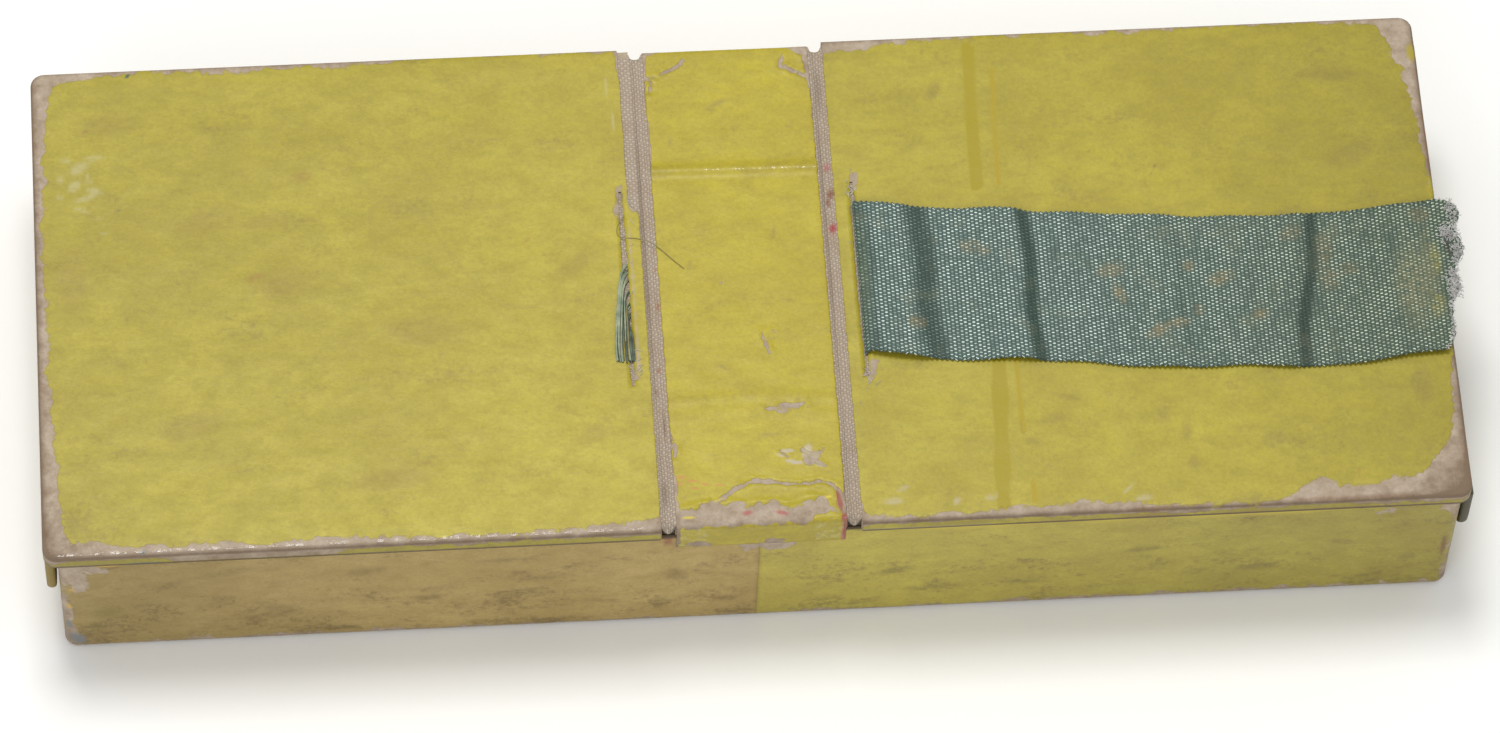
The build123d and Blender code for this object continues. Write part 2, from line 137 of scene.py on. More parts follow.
def surface_paper(name, face, mottle, fade, dirt, dirt_share, gloss):
    """Flint-glazed surface paper: a thin yellow colour coat on soft pulp, burnished, then worn by handling.

    It gives the eye a faint sheen, cloudy patches, rubbed-in dirt, bare pinkish-grey pulp with ragged edges
    where the coat has gone, and broken glints where size and handling have polished an arris. Attributes on
    the mesh: worn, in mm inside the bare area; a colour with its strength as alpha, for stains and painted shade;
    extra dirt from 0 to 1, with painted shade under the lids; how much darker the paper is made, partly as painted
    shade; shine, how far it is polished.
    """
    material, tree, place = new_material(name)
    worn, grime_and_shade, aged, shine = (
        node(tree, "Attribute", out="Fac", attribute_name=carried) for carried in ("worn", "grime_and_shade", "aged", "shine")
    )
    stain_and_shade, stain_and_shade_alpha = (node(tree, "Attribute", out=part, attribute_name="stain_and_shade") for part in ("Color", "Alpha"))
    drawn_out, stretched = (node(tree, "Mapping", {"Vector": place, "Scale": (x, 1, 1)}) for x in (0.55, 0.5))
    clouds, blots, fibre, smudge, tooth, wander, nibble, pulp_dirt, breaks = (
        node(
            tree, "TexNoise",
            {"Vector": at, "Scale": 1 / (size * MM), "Detail": detail, "Roughness": rough, "Distortion": twist},
        )
        for at, size, detail, rough, twist in (
            (place, 12, 4, 0.5, 0),  # cloudy dye, in patches 12 mm across
            (drawn_out, 2.6, 6, 0.72, 0),  # streaks of 2.6 mm along the paper's grain
            (place, 0.5, 3, 0.7, 0),  # pulp fibres 0.5 mm long
            (stretched, 5.5, 7, 0.68, 0.4),  # dirt rubbed in by hands, in smudges mostly 2 to 10 mm long
            (place, 0.8, 5, 0.7, 0),  # the paper's tooth, which breaks up what lies on it
            (place, 4, 2, 0.5, 0),  # the coat's torn edge wanders by a millimetre or so
            (place, 0.8, 3, 0.5, 0),  # and is nibbled at 0.4 mm
            (place, 2.2, 6, 0.7, 0),  # dirt in the bare pulp
            (place, 1.1, 5, 0.8, 0),  # breaks in the polish along an edge
        )
    )

    # the dye, made darker where the mesh asks, partly as painted shade, with fibres showing through the coat as fine
    # speckle
    cloud_share = node(tree, "MapRange", {"Value": clouds, "From Min": 0.35, "From Max": 0.68})
    blot_share = node(tree, "MapRange", {"Value": blots, "From Min": 0.4, "From Max": 0.72, "To Max": 0.75})
    colour = node(tree, "Mix", {"Factor": cloud_share, 6: linear(face), 7: linear(mottle)}, **COLOURS)
    colour = node(tree, "Mix", {"Factor": blot_share, 6: colour, 7: linear(fade)}, **COLOURS)
    speckle = {"Value": fibre, "From Min": 0.3, "From Max": 0.7, "To Min": 0.9, "To Max": 1.08}
    speckle = node(tree, "MapRange", speckle)
    darkened = node(tree, "MapRange", {"Value": aged, "To Min": 1.0, "To Max": 0.7})
    colour = node(tree, "VectorMath", {0: colour, "Scale": darkened}, operation="SCALE")
    colour = node(tree, "VectorMath", {0: colour, "Scale": speckle}, operation="SCALE")

    # dirt, with painted shade just under the lids
    broken = node(tree, "Math", {0: tooth, 1: 0.65, 2: smudge}, operation="MULTIPLY_ADD")
    loaded = node(tree, "Math", {0: grime_and_shade, 1: 0.3, 2: broken}, operation="MULTIPLY_ADD")
    dirty = node(tree, "MapRange", {"Value": loaded, "From Min": 0.87, "From Max": 1.12, "To Max": dirt_share}, **EASED)
    colour = node(tree, "Mix", {"Factor": dirty, 6: colour, 7: linear(dirt)}, **COLOURS)

    # separate stains, and painted shade on the flaps, along the lids' lower edges and the walls' tops, with edges that
    # follow the tooth
    ragged = node(tree, "Math", {0: tooth, 1: 0.7, 2: stain_and_shade_alpha}, operation="MULTIPLY_ADD")
    stained_and_shaded = node(tree, "MapRange", {"Value": ragged, "From Min": 0.38, "From Max": 1.0}, **EASED)
    stained_and_shaded = node(tree, "Math", {0: stained_and_shaded, 1: stain_and_shade_alpha}, operation="MULTIPLY")
    stained_and_shaded = node(tree, "Math", {0: stained_and_shaded, 1: 1.35}, operation="MULTIPLY", use_clamp=True)
    colour = node(tree, "Mix", {"Factor": stained_and_shaded, 6: colour, 7: stain_and_shade}, **COLOURS)

    # bare pulp, with its own dirt
    edge = node(tree, "Math", {0: wander, 1: 2.8, 2: worn}, operation="MULTIPLY_ADD")
    edge = node(tree, "Math", {0: nibble, 1: 1.4, 2: edge}, operation="MULTIPLY_ADD")
    bare = node(tree, "MapRange", {"Value": edge, "From Min": 1.92, "From Max": 2.3}, **EASED)
    pulp_share = node(tree, "MapRange", {"Value": pulp_dirt, "From Min": 0.35, "From Max": 0.72})
    pulp = node(tree, "Mix", {"Factor": pulp_share, 6: linear("#b5a592"), 7: linear("#98856f")}, **COLOURS)
    pulp = node(tree, "VectorMath", {0: pulp, "Scale": speckle}, operation="SCALE")
    handled = node(tree, "Math", {0: pulp_dirt, 1: 0.8, 2: grime_and_shade}, operation="MULTIPLY_ADD")
    rubbed = node(tree, "MapRange", {"Value": handled, "From Min": 0.6, "From Max": 1.4, "To Max": 0.85})
    pulp = node(tree, "Mix", {"Factor": rubbed, 6: pulp, 7: linear("#6f5a45")}, **COLOURS)
    stained_and_shaded_pulp = node(tree, "Math", {0: stained_and_shaded, 1: 0.85}, operation="MULTIPLY")
    pulp = node(tree, "Mix", {"Factor": stained_and_shaded_pulp, 6: pulp, 7: stain_and_shade}, **COLOURS)
    colour = node(tree, "Mix", {"Factor": bare, 6: colour, 7: pulp}, **COLOURS)

    # burnished coat against soft bare pulp
    dull = node(tree, "Mix", {"Factor": bare, 2: gloss, 3: 0.85})
    dull = node(tree, "Math", {0: blot_share, 1: 0.12, 2: dull}, operation="MULTIPLY_ADD")

    # the coat stands 0.08 mm proud of the pulp, over fibres a few hundredths deep and slow waves of glue
    coat_height = node(tree, "Math", {0: bare, 1: -0.08}, operation="MULTIPLY")
    fibre_height = node(tree, "Math", {0: fibre, 1: 0.02, 2: coat_height}, operation="MULTIPLY_ADD")
    height = node(tree, "Math", {0: blots, 1: 0.06, 2: fibre_height}, operation="MULTIPLY_ADD")
    bump = node(tree, "Bump", {"Height": height, "Strength": 1.0, "Distance": MM})
    polished = node(tree, "MapRange", {"Value": breaks, "From Min": 0.5, "From Max": 0.58})
    polished = node(tree, "Math", {0: polished, 1: shine}, operation="MULTIPLY", use_clamp=True)
    polish_bump = node(tree, "Bump", {"Height": fibre, "Strength": 0.6, "Distance": 0.03 * MM})
    look = {"Base Color": colour, "Roughness": dull, "Normal": bump, "IOR": 1.45}
    polish = {"Coat Weight": polished, "Coat Roughness": 0.1, "Coat Normal": polish_bump}
    return finished(material, node(tree, "BsdfPrincipled", look | polish))


def pasteboard():
    """Raw grey pasteboard, cut with a knife: matt, pinkish-grey, with layers along its edges and loose fibres."""
    material, tree, place = new_material("pasteboard")
    layers = node(tree, "Mapping", {"Vector": place, "Scale": (0.08, 0.08, 1.0)})
    layer = node(tree, "TexNoise", {"Vector": layers, "Scale": 1 / (0.35 * MM), "Detail": 3.0})
    fibre = node(tree, "TexNoise", {"Vector": place, "Scale": 1 / (0.6 * MM), "Detail": 5.0, "Roughness": 0.7})
    mixed = node(tree, "Math", {0: layer, 1: fibre}, operation="ADD")
    share = node(tree, "MapRange", {"Value": mixed, "From Min": 0.7, "From Max": 1.3})
    colour = node(tree, "Mix", {"Factor": share, 6: linear("#8c7b66"), 7: linear("#b5a58e")}, **COLOURS)
    bump = node(tree, "Bump", {"Height": mixed, "Strength": 0.6, "Distance": 0.1 * MM})
    return finished(material, node(tree, "BsdfPrincipled", {"Base Color": colour, "Roughness": 0.92, "Normal": bump}))


def plain_paper(name, light, dark):
    """Uncoated lining paper, pasted down: matt, slightly foxed, with a faint laid texture."""
    material, tree, place = new_material(name)
    fox = node(tree, "TexNoise", {"Vector": place, "Scale": 1 / (9 * MM), "Detail": 6.0, "Roughness": 0.6})
    share = node(tree, "MapRange", {"Value": fox, "From Min": 0.45, "From Max": 0.78})
    colour = node(tree, "Mix", {"Factor": share, 6: linear(light), 7: linear(dark)}, **COLOURS)
    fibre = node(tree, "TexNoise", {"Vector": place, "Scale": 1 / (0.5 * MM), "Detail": 4.0, "Roughness": 0.7})
    bump = node(tree, "Bump", {"Height": fibre, "Strength": 0.5, "Distance": 0.05 * MM})
    return finished(material, node(tree, "BsdfPrincipled", {"Base Color": colour, "Roughness": 0.88, "Normal": bump}))


def cotton_velvet():
    """Cotton velvet: a short dense pile that lights up at grazing angles and crushes in patches."""
    material, tree, place = new_material("cotton_velvet")
    crush = node(tree, "TexNoise", {"Vector": place, "Scale": 1 / (14 * MM), "Detail": 3.0, "Distortion": 1.2})
    share = node(tree, "MapRange", {"Value": crush, "From Min": 0.35, "From Max": 0.65})
    colour = node(tree, "Mix", {"Factor": share, 6: linear("#1b2040"), 7: linear("#262d55")}, **COLOURS)
    pile = node(tree, "TexNoise", {"Vector": place, "Scale": 1 / (0.35 * MM), "Detail": 2.0})
    bump = node(tree, "Bump", {"Height": pile, "Strength": 0.8, "Distance": 0.2 * MM})
    look = {"Base Color": colour, "Roughness": 1.0, "Normal": bump, "Specular IOR Level": 0.1}
    sheen = {"Sheen Weight": 0.7, "Sheen Roughness": 0.35, "Sheen Tint": linear("#8f97c4")}
    return finished(material, node(tree, "BsdfPrincipled", look | sheen))


def plain_weave(tree, pitch_x, pitch_y, fuzz):
    """Threads over the flat map, which is in mm, so that a scale of 0.5 is 2 mm and 0.16 about 6 mm.

    The threads wander by up to fuzz. Gives their height, below 0 at the weft, and the place that has wandered.
    """
    flat = node(tree, "UVMap", uv_map="cut")
    drift = node(tree, "TexNoise", {"Vector": flat, "Scale": 0.45, "Detail": 2.0}, out=1)
    centred = node(tree, "VectorMath", {0: drift, 1: (0.5, 0.5, 0.5)}, operation="SUBTRACT")
    moved = node(tree, "VectorMath", {0: centred, 1: (fuzz, fuzz, 0), 2: flat}, operation="MULTIPLY_ADD")
    waves = []
    for along, pitch in zip(node(tree, "SeparateXYZ", {0: moved}).node.outputs, (pitch_x, pitch_y)):
        turn = node(tree, "Math", {0: along, 1: pi / pitch}, operation="MULTIPLY")
        waves.append(node(tree, "Math", {0: turn}, operation="SINE"))
    return node(tree, "Math", dict(enumerate(waves)), operation="MULTIPLY"), moved


def unbleached_calico():
    """Unbleached calico, pasted over the joint: plain weave, threads about 0.45 mm apart, greyed and soiled.

    It gives the eye a fine even grain, low in contrast, that breaks up where the threads are rubbed.
    """
    material, tree, place = new_material("calico")
    checks, _ = plain_weave(tree, 0.46, 0.42, 0.6)
    raised = node(tree, "Math", {0: checks}, operation="ABSOLUTE")
    lit = node(tree, "MapRange", {"Value": checks, "From Min": -0.9, "From Max": 0.9})
    thread = node(tree, "Mix", {"Factor": lit, 6: linear("#ab9b8b"), 7: linear("#c6b8a4")}, **COLOURS)
    gap = node(tree, "MapRange", {"Value": raised, "From Min": 0.0, "From Max": 0.25})
    colour = node(tree, "Mix", {"Factor": gap, 6: linear("#8d7c6c"), 7: thread}, **COLOURS)
    soil = node(tree, "TexNoise", {"Vector": place, "Scale": 1 / (4.5 * MM), "Detail": 6.0, "Roughness": 0.7})
    soil_share = node(tree, "MapRange", {"Value": soil, "From Min": 0.42, "From Max": 0.75, "To Max": 0.5})
    colour = node(tree, "Mix", {"Factor": soil_share, 6: colour, 7: linear("#9a8268")}, **COLOURS)
    # stains, and painted shade along the left side of the groove
    stain_and_shade, stain_and_shade_alpha = (node(tree, "Attribute", out=part, attribute_name="stain_and_shade") for part in ("Color", "Alpha"))
    colour = node(tree, "Mix", {"Factor": stain_and_shade_alpha, 6: colour, 7: stain_and_shade}, **COLOURS)
    bump = node(tree, "Bump", {"Height": raised, "Strength": 0.9, "Distance": 0.12 * MM})
    look = {"Base Color": colour, "Roughness": 0.9, "Normal": bump, "Sheen Weight": 0.1}
    return finished(material, node(tree, "BsdfPrincipled", look))


def ribbed_silk():
    """Ribbed silk: near-white beads where the lustrous warp comes up, painted as highlights in staggered columns, and
    dull teal between them.

    It gives the eye painted highlights as staggered glints, painted shade that deepens in the old folds, and ochre
    water stains. The real beads are 0.27 mm apart from row to row; they are drawn 0.3 mm apart, so that they stay
    distinct.
    """
    material, tree, _ = new_material("woven_silk")
    bead = (0.6, 0.3)  # along and across the ribbon, in mm
    checks, moved = plain_weave(tree, *bead, 0.16)
    beads = node(tree, "MapRange", {"Value": checks, "From Min": 0.2, "From Max": 0.8}, **EASED)
    # painted highlight: whole bands near the old folds are made brighter than others, and so is each bead for itself
    bands = node(tree, "Mapping", {"Vector": moved, "Scale": (1.0, 0.2, 1.0)})
    uneven = node(tree, "TexNoise", {"Vector": bands, "Scale": 0.5, "Detail": 5.0, "Roughness": 0.85})
    uneven = {"Value": uneven, "From Min": 0.3, "From Max": 0.68, "To Min": 0.12, "To Max": 1.25}
    beads = node(tree, "Math", {0: beads, 1: node(tree, "MapRange", uneven)}, operation="MULTIPLY")
    own = node(tree, "VectorMath", {0: moved, 1: (*bead, 1.0)}, operation="SNAP")
    own = node(tree, "TexWhiteNoise", {"Vector": own}, noise_dimensions="2D")
    own = node(tree, "MapRange", {"Value": own, "To Min": 0.45, "To Max": 1.6})
    beads = node(tree, "Math", {0: beads, 1: own}, operation="MULTIPLY", use_clamp=True)
    ground = node(tree, "MapRange", {"Value": checks, "From Min": -1.0, "From Max": 0.0})
    weft = node(tree, "Mix", {"Factor": ground, 6: linear("#5a756b"), 7: linear("#324b43")}, **COLOURS)
    # painted highlight: the beads are drawn near-white over the weft
    colour = node(tree, "Mix", {"Factor": beads, 6: weft, 7: linear("#e2f2ea")}, **COLOURS)
    # painted shade: along the old folds the colour turns to a darker teal, where the slopes turn away from the light
    fold, aged = (node(tree, "Attribute", out="Fac", attribute_name=carried) for carried in ("fold", "aged"))
    shaded = node(tree, "Mix", {"Factor": beads, 6: linear("#22392f"), 7: linear("#42695a")}, **COLOURS)
    colour = node(tree, "Mix", {"Factor": fold, 6: colour, 7: shaded}, **COLOURS)
    # water stains about 6 mm across
    water = node(tree, "TexNoise", {"Vector": moved, "Scale": 0.16, "Detail": 5.0, "Roughness": 0.65})
    water_share = node(tree, "MapRange", {"Value": water, "From Min": 0.55, "From Max": 0.8, "To Max": 0.35})
    colour = node(tree, "Mix", {"Factor": water_share, 6: colour, 7: linear("#8f8a66")}, **COLOURS)
    # the ribbon darker and browner towards its torn end and darkest in the slit as painted shade, and stains, with
    # painted shade among them, that soak in and leave the weave in sight
    colour = node(tree, "Mix", {"Factor": aged, 6: colour, 7: linear("#e9e3cb")}, blend_type="MULTIPLY", **COLOURS)
    stain_and_shade, stain_and_shade_alpha = (node(tree, "Attribute", out=part, attribute_name="stain_and_shade") for part in ("Color", "Alpha"))
    soaked = node(tree, "TexNoise", {"Vector": moved, "Scale": 1.1, "Detail": 4.0, "Roughness": 0.7})
    soaked = node(tree, "MapRange", {"Value": soaked, "From Min": 0.34, "From Max": 0.56})
    soaked = node(tree, "Math", {0: soaked, 1: stain_and_shade_alpha}, operation="MULTIPLY")
    colour = node(tree, "Mix", {"Factor": soaked, 6: colour, 7: stain_and_shade}, **COLOURS)
    raised = node(tree, "Math", {0: checks}, operation="ABSOLUTE")
    bump = node(tree, "Bump", {"Height": raised, "Strength": 0.8, "Distance": 0.1 * MM})
    dull = node(tree, "Mix", {"Factor": beads, 2: 0.6, 3: 0.3})
    look = {"Base Color": colour, "Roughness": dull, "Normal": bump, "IOR": 1.55}
    sheen = {"Sheen Weight": 0.25, "Sheen Roughness": 0.4, "Sheen Tint": linear("#cfe0d8")}
    return finished(material, node(tree, "BsdfPrincipled", look | sheen))


def silk_filament(name, light, dark, sheen):
    """Loose silk filament, untwisted: lustrous along its length, with darker stretches where it is dirty."""
    material, tree, place = new_material(name)
    dirt = node(tree, "TexNoise", {"Vector": place, "Scale": 1 / (1.8 * MM), "Detail": 3.0})
    share = node(tree, "MapRange", {"Value": dirt, "From Min": 0.35, "From Max": 0.65})
    colour = node(tree, "Mix", {"Factor": share, 6: linear(light), 7: linear(dark)}, **COLOURS)
    look = {"Base Color": colour, "Roughness": 0.45, "IOR": 1.55, "Sheen Weight": sheen}
    return finished(material, node(tree, "BsdfPrincipled", look))


def white_board():
    """Matt white background board: even, with the faintest tooth."""
    material, tree, place = new_material("white_board")
    tooth = node(tree, "TexNoise", {"Vector": place, "Scale": 1 / (2 * MM), "Detail": 2.0})
    share = node(tree, "MapRange", {"Value": tooth, "To Min": 0.985, "To Max": 1.0})
    colour = node(tree, "VectorMath", {0: linear("#fcfcfa")[:3], "Scale": share}, operation="SCALE")
    return finished(material, node(tree, "BsdfPrincipled", {"Base Color": colour, "Roughness": 0.95}))


BRIDGE_PAPER = surface_paper("surface_paper_bridge", "#b4a522", "#aa9a20", "#a09028", "#7c6a30", 0.3, 0.4)
LID_PAPER = surface_paper("surface_paper_lid", "#b6a82f", "#ab9c29", "#9f9130", "#7c6a30", 0.4, 0.42)
TRAY_PAPER = surface_paper("surface_paper_tray", "#beb04a", "#b0a044", "#a39345", "#6c5c36", 0.6, 0.5)
BROWNED_PAPER = surface_paper("surface_paper_browned", "#b59d61", "#a89054", "#9b834c", "#66532f", 0.62, 0.55)
BOARD = pasteboard()
LINING = plain_paper("lining_paper", "#d8cdb4", "#bda98a")
BASE_PAPER = plain_paper("base_paper", "#b8a885", "#93805f")
TAPE = plain_paper("gummed_tape", "#9c7f58", "#7d6242")
VELVET = cotton_velvet()
CALICO = unbleached_calico()
SILK = ribbed_silk()
SILK_THREAD = silk_filament("silk_thread", "#a3aa8b", "#6f8069", 0.2)
DARK_THREAD = silk_filament("silk_thread_dark", "#52604f", "#343c30", 0.0)
HAIR_THREAD = silk_filament("silk_thread_olive", "#8d8347", "#75693a", 0.2)
FLUFF = silk_filament("silk_fluff", "#d2d0cc", "#a9a6a3", 0.5)

# ---------------------------------------------------------------- meshes


def follow(table, at):
    """The value at each place along a table of places and values."""
    return np.interp(at, *zip(*table))


def spread(a, b):
    """Every pairing of two sets of lines, row by row."""
    return (lines.ravel() for lines in np.meshgrid(a, b, indexing="ij"))


def make_mesh(name, points, faces, material, attributes=None, cut=None):
    """A mesh object from points in mm. attributes are per-point floats or colours; cut is a flat map in mm."""
    mesh = bpy.data.meshes.new(name)
    mesh.from_pydata((np.asarray(points) * MM).tolist(), [], faces)
    mesh.polygons.foreach_set("use_smooth", [True] * len(mesh.polygons))
    for key, values in (attributes or {}).items():
        kind, field = ("FLOAT_COLOR", "color") if np.ndim(values) == 2 else ("FLOAT", "value")
        layer = mesh.attributes.new(key, kind, "POINT")
        layer.data.foreach_set(field, np.asarray(values, np.float32).ravel())
    if cut is not None:
        corners = np.empty(len(mesh.loops), np.int32)
        mesh.loops.foreach_get("vertex_index", corners)
        mesh.uv_layers.new(name="cut").data.foreach_set("uv", np.asarray(cut, np.float32)[corners].ravel())
    mesh.materials.append(material)
    mesh.update()
    made = bpy.data.objects.new(name, mesh)
    bpy.context.scene.collection.objects.link(made)
    return made


def thicken(piece, thickness, offset=-1.0, even=True):
    """Gives a skin its real thickness in mm, inwards, or to both sides at offset 0, and applies it."""
    solid = piece.modifiers.new("thickness", "SOLIDIFY")
    solid.thickness = thickness * MM
    solid.offset = offset
    solid.use_even_offset = even
    mesh = bpy.data.meshes.new_from_object(piece.evaluated_get(bpy.context.evaluated_depsgraph_get()))
    piece.modifiers.clear()
    piece.data = mesh


def grid_faces(rows, columns, flip=False, skip=None):
    """Faces of a grid of points, row by row, apart from those that skip marks."""
    faces = []
    for i in range(rows - 1):
        for j in range(columns - 1):
            if skip is not None and skip[i, j]:
                continue
            here, below = i * columns + j, (i + 1) * columns + j
            face = (here, below, below + 1, here + 1)
            faces.append(face[::-1] if flip else face)
    return faces


def smooth_noise(size, seed, x, y, z=0):
    """Gentle noise from -1 to 1 that varies over size mm: a few sine waves in seeded directions."""
    points = np.column_stack(np.broadcast_arrays(x, y, z))
    waves = np.random.default_rng(seed)
    total = np.zeros(len(points))
    for _ in range(7):
        direction = waves.normal(size=3)
        direction /= np.linalg.norm(direction)
        total += np.sin(points @ direction * 2 * pi / (size * waves.uniform(0.7, 1.6)) + waves.uniform(0, 2 * pi))
    return total / 4.5


def lines_across(low, high, step, low_edge=(), high_edge=(), extra=()):
    """Grid lines from low to high, a step apart, with closer lines at given distances from either end."""
    margin_low = max(low_edge, default=0)
    margin_high = max(high_edge, default=0)
    count = max(2, int(round((high - low - margin_low - margin_high) / step)) + 1)
    middle = np.linspace(low + margin_low, high - margin_high, count)
    lines = [low + d for d in low_edge] + [high - d for d in high_edge] + list(middle)
    lines = [x for x in lines if all(abs(x - e) > step / 3 for e in extra)] + list(extra)
    return np.array(sorted(set(np.round(lines, 5))))


GRID_STEP = 0.62  # between the grid lines of the lids and the velvet
# distances from an outline that draw its rounded edge
EDGE_LINES = (0.0, 0.04, 0.12, 0.25, 0.45)
FLAP_LINES = (0, 0.08, 0.25, 0.5)
VELVET_LINES = (0, 0.1, 0.3, 0.7, 1.2)
BRIDGE_LINES = (0, 0.15, 0.3)


def rounded_drop(distance, radius):
    """How far a rounded edge falls at that distance in from the outline."""
    d = np.clip(distance, 0, radius)
    return radius - np.sqrt(np.maximum(radius**2 - (radius - d) ** 2, 0))


def blob(x, y, marks):
    """The highest of some marks at each point, from 1 in a mark's middle to 0 at its outline.

    A mark is its centre x, y, half length, half width and the turn of its length from +X, in degrees.
    """
    best = np.full(np.shape(x), -50.0)
    for cx, cy, long_half, wide_half, turn in marks:
        c, s = cos(radians(turn)), sin(radians(turn))
        along = ((x - cx) * c + (y - cy) * s) / long_half
        across = (-(x - cx) * s + (y - cy) * c) / wide_half
        best = np.maximum(best, 1 - np.hypot(along, across))
    return best


def stain_and_shade_layer(x, y, stains, lines=()):
    """Colour and strength of coloured stains and painted shade: each is a hex colour, a strength and its marks or drawn
    lines.

    A point outside every stain has the colour of the nearest, at strength 0, so that no edge turns black.
    """
    layer, best = np.zeros((len(x), 4)), np.full(len(x), -1e6)
    shares = [(colour, strength, blob(x, y, marks) * 1.6) for colour, strength, marks in stains]
    shares += [(colour, strength, strokes(x, y, drawn) / 0.35 + 0.3) for colour, strength, drawn in lines]
    for colour, strength, share in shares:
        take = np.where(share > 0, share * strength, share) > best
        best = np.where(take, np.where(share > 0, share * strength, share), best)
        layer[take] = linear(colour)
        layer[take, 3] = np.clip(share[take], 0, 1) * strength
    return layer


def inside_corner(u, v, corner):
    """Distance in from a rounded outline, at u and v from the middle of its corner."""
    return corner - np.hypot(np.maximum(u, 0), np.maximum(v, 0)) - np.minimum(np.maximum(u, v), 0)


def ring(path, outer, half_depth, corner, inset):
    """A path along the front, the end and the back, moved inwards."""
    x, y = path[:, 0], path[:, 1]
    reach = max(inset, corner)
    core = np.column_stack([np.minimum(x, outer - reach), np.clip(y, reach - half_depth, half_depth - reach)])
    return core if inset > corner else path + (core - path) * (inset / corner)


def joined(name, side, points, faces, material, **more):
    """A mesh drawn for the right side, mirrored if it is on the left, with doubled points merged."""
    points = np.asarray(points) * (side, 1, 1)
    if side < 0:
        faces = [face[::-1] for face in faces]
    made = make_mesh(name, points, faces, material, **more)
    cleaned = bmesh.new()
    cleaned.from_mesh(made.data)
    bmesh.ops.remove_doubles(cleaned, verts=cleaned.verts, dist=0.004 * MM)
    bmesh.ops.dissolve_degenerate(cleaned, edges=cleaned.edges, dist=0.002 * MM)
    cleaned.to_mesh(made.data)
    cleaned.free()
    return made


def soft_most(values, blend):
    """The highest of several fields, with a rounded join where two of them meet."""
    return blend * np.log(sum(np.exp(np.clip(v, -12, 14) / blend) for v in values))


def patches(x, y, marks):
    """Distance in mm inside the nearest of some marks, and below 0 outside them all."""
    best = np.full(np.shape(x), -9.0)
    for mark in marks:
        best = np.maximum(best, blob(x, y, [mark]) * min(mark[2], mark[3]))
    return best


def strokes(x, y, lines):
    """Distance in mm inside the nearest of some drawn lines: each is its half width and its points."""
    best = np.full(np.shape(x), -9.0)
    for half_width, points in lines:
        for (ax, ay), (bx, by) in zip(points, points[1:]):
            share = np.clip(((x - ax) * (bx - ax) + (y - ay) * (by - ay)) / ((bx - ax) ** 2 + (by - ay) ** 2), 0, 1)
            best = np.maximum(best, half_width - np.hypot(x - ax - share * (bx - ax), y - ay - share * (by - ay)))
    return best


# ---------------------------------------------------------------- lids

LID_CORNER = 2.0
LID_ARRIS = 0.45
SLIT_HALF = 16.25
SLIT_GAP = 0.4
TURN_IN = 8.2  # how far the paper is turned in under the lid
COVER_THICK = 0.95 * PAPER  # clear of the board under it

# widths in mm of the bare margins along a lid's edges, by X or Y
LID_WEAR = {
    "left": {
        "front": [(-101, 4), (-95, 2.5), (-88, 1.6), (-75, 1.2), (-60, 1.3), (-40, 0.8), (-25, 1.0), (-15, 2.2)],
        "end": [(-40, 4.5), (-36, 3.5), (-30, 2.7), (-10, 1.6), (10, 1.2), (25, 1.6), (33, 2.5), (40, 3.5)],
        "back": [(-100, 2.4), (-92, 1.1), (-84, 0.3), (-75, 1.0), (-55, 0.9), (-40, -0.2), (-25, 0.1), (-14, 0.7)],
        "hinge": [
            (-40, 0.5), (-34, -0.3), (-20, -0.4), (0, -0.5), (11, -0.4), (12.2, 0.2), (13.5, -0.3), (30, -0.3),
            (38, 0.3),
        ],
        "front_face": [(-101, 2.5), (-98, 0.6), (-84, 0.7), (-82, 3.2), (-62, 3.0), (-59, 0.9), (-14, 0.8)],
    },
    "right": {
        "front": [
            (14, 0.8), (28, 0.7), (36, 1.1), (46, 1.5), (54, 1.0), (62, 0.3), (72, 0.4), (76, 1.4), (78, 3.0),
            (80.2, 4.2), (82.5, 2.0), (86, 2.7), (92, 3.3), (97, 4.2), (99.5, 6.5), (101, 8),
        ],
        "end": [
            (-40, 9), (-36, 6), (-33, 4.0), (-30.5, 1.9), (-23, 1.2), (-13, 0.3), (8, 0.4), (14, 0.8), (20, 1.0),
            (25, 1.7), (31, 2.4), (34, 3.9), (40, 4.2),
        ],
        "back": [
            (14, 2.4), (20, 1.5), (28, 0.6), (45, 0.2), (60, 0.8), (75, 0.3), (88, 0.6), (96, 0.9), (98, 5), (101, 8),
        ],
        "hinge": [(-40, 0.7), (-34, -0.3), (-10, -0.5), (10, -0.5), (30, -0.3), (38, 0.3)],
        "front_face": [(14, 0.9), (40, 0.7), (62, 1.4), (80, 0.8), (101, 1.8)],
    },
}
LID_DIRTY = {"left": 0.8, "right": 1.5}  # how much the front corner is handled
# how far the front arris is polished, by X
LID_SHINE = {"left": [(-101, 0.9), (-20, 0.7), (-14, 0.3)], "right": [(14, 0.3), (40, 0.4), (101, 0.15)]}
# how much darker the paper is made, by X
LID_DARKENING = {
    "left": [(-101, 0.45), (-60, 0.33), (-20, 0.1)],
    "right": [(14, 0.3), (40, 0.28), (60, 0.35), (80, 0.6), (101, 0.9)],
}
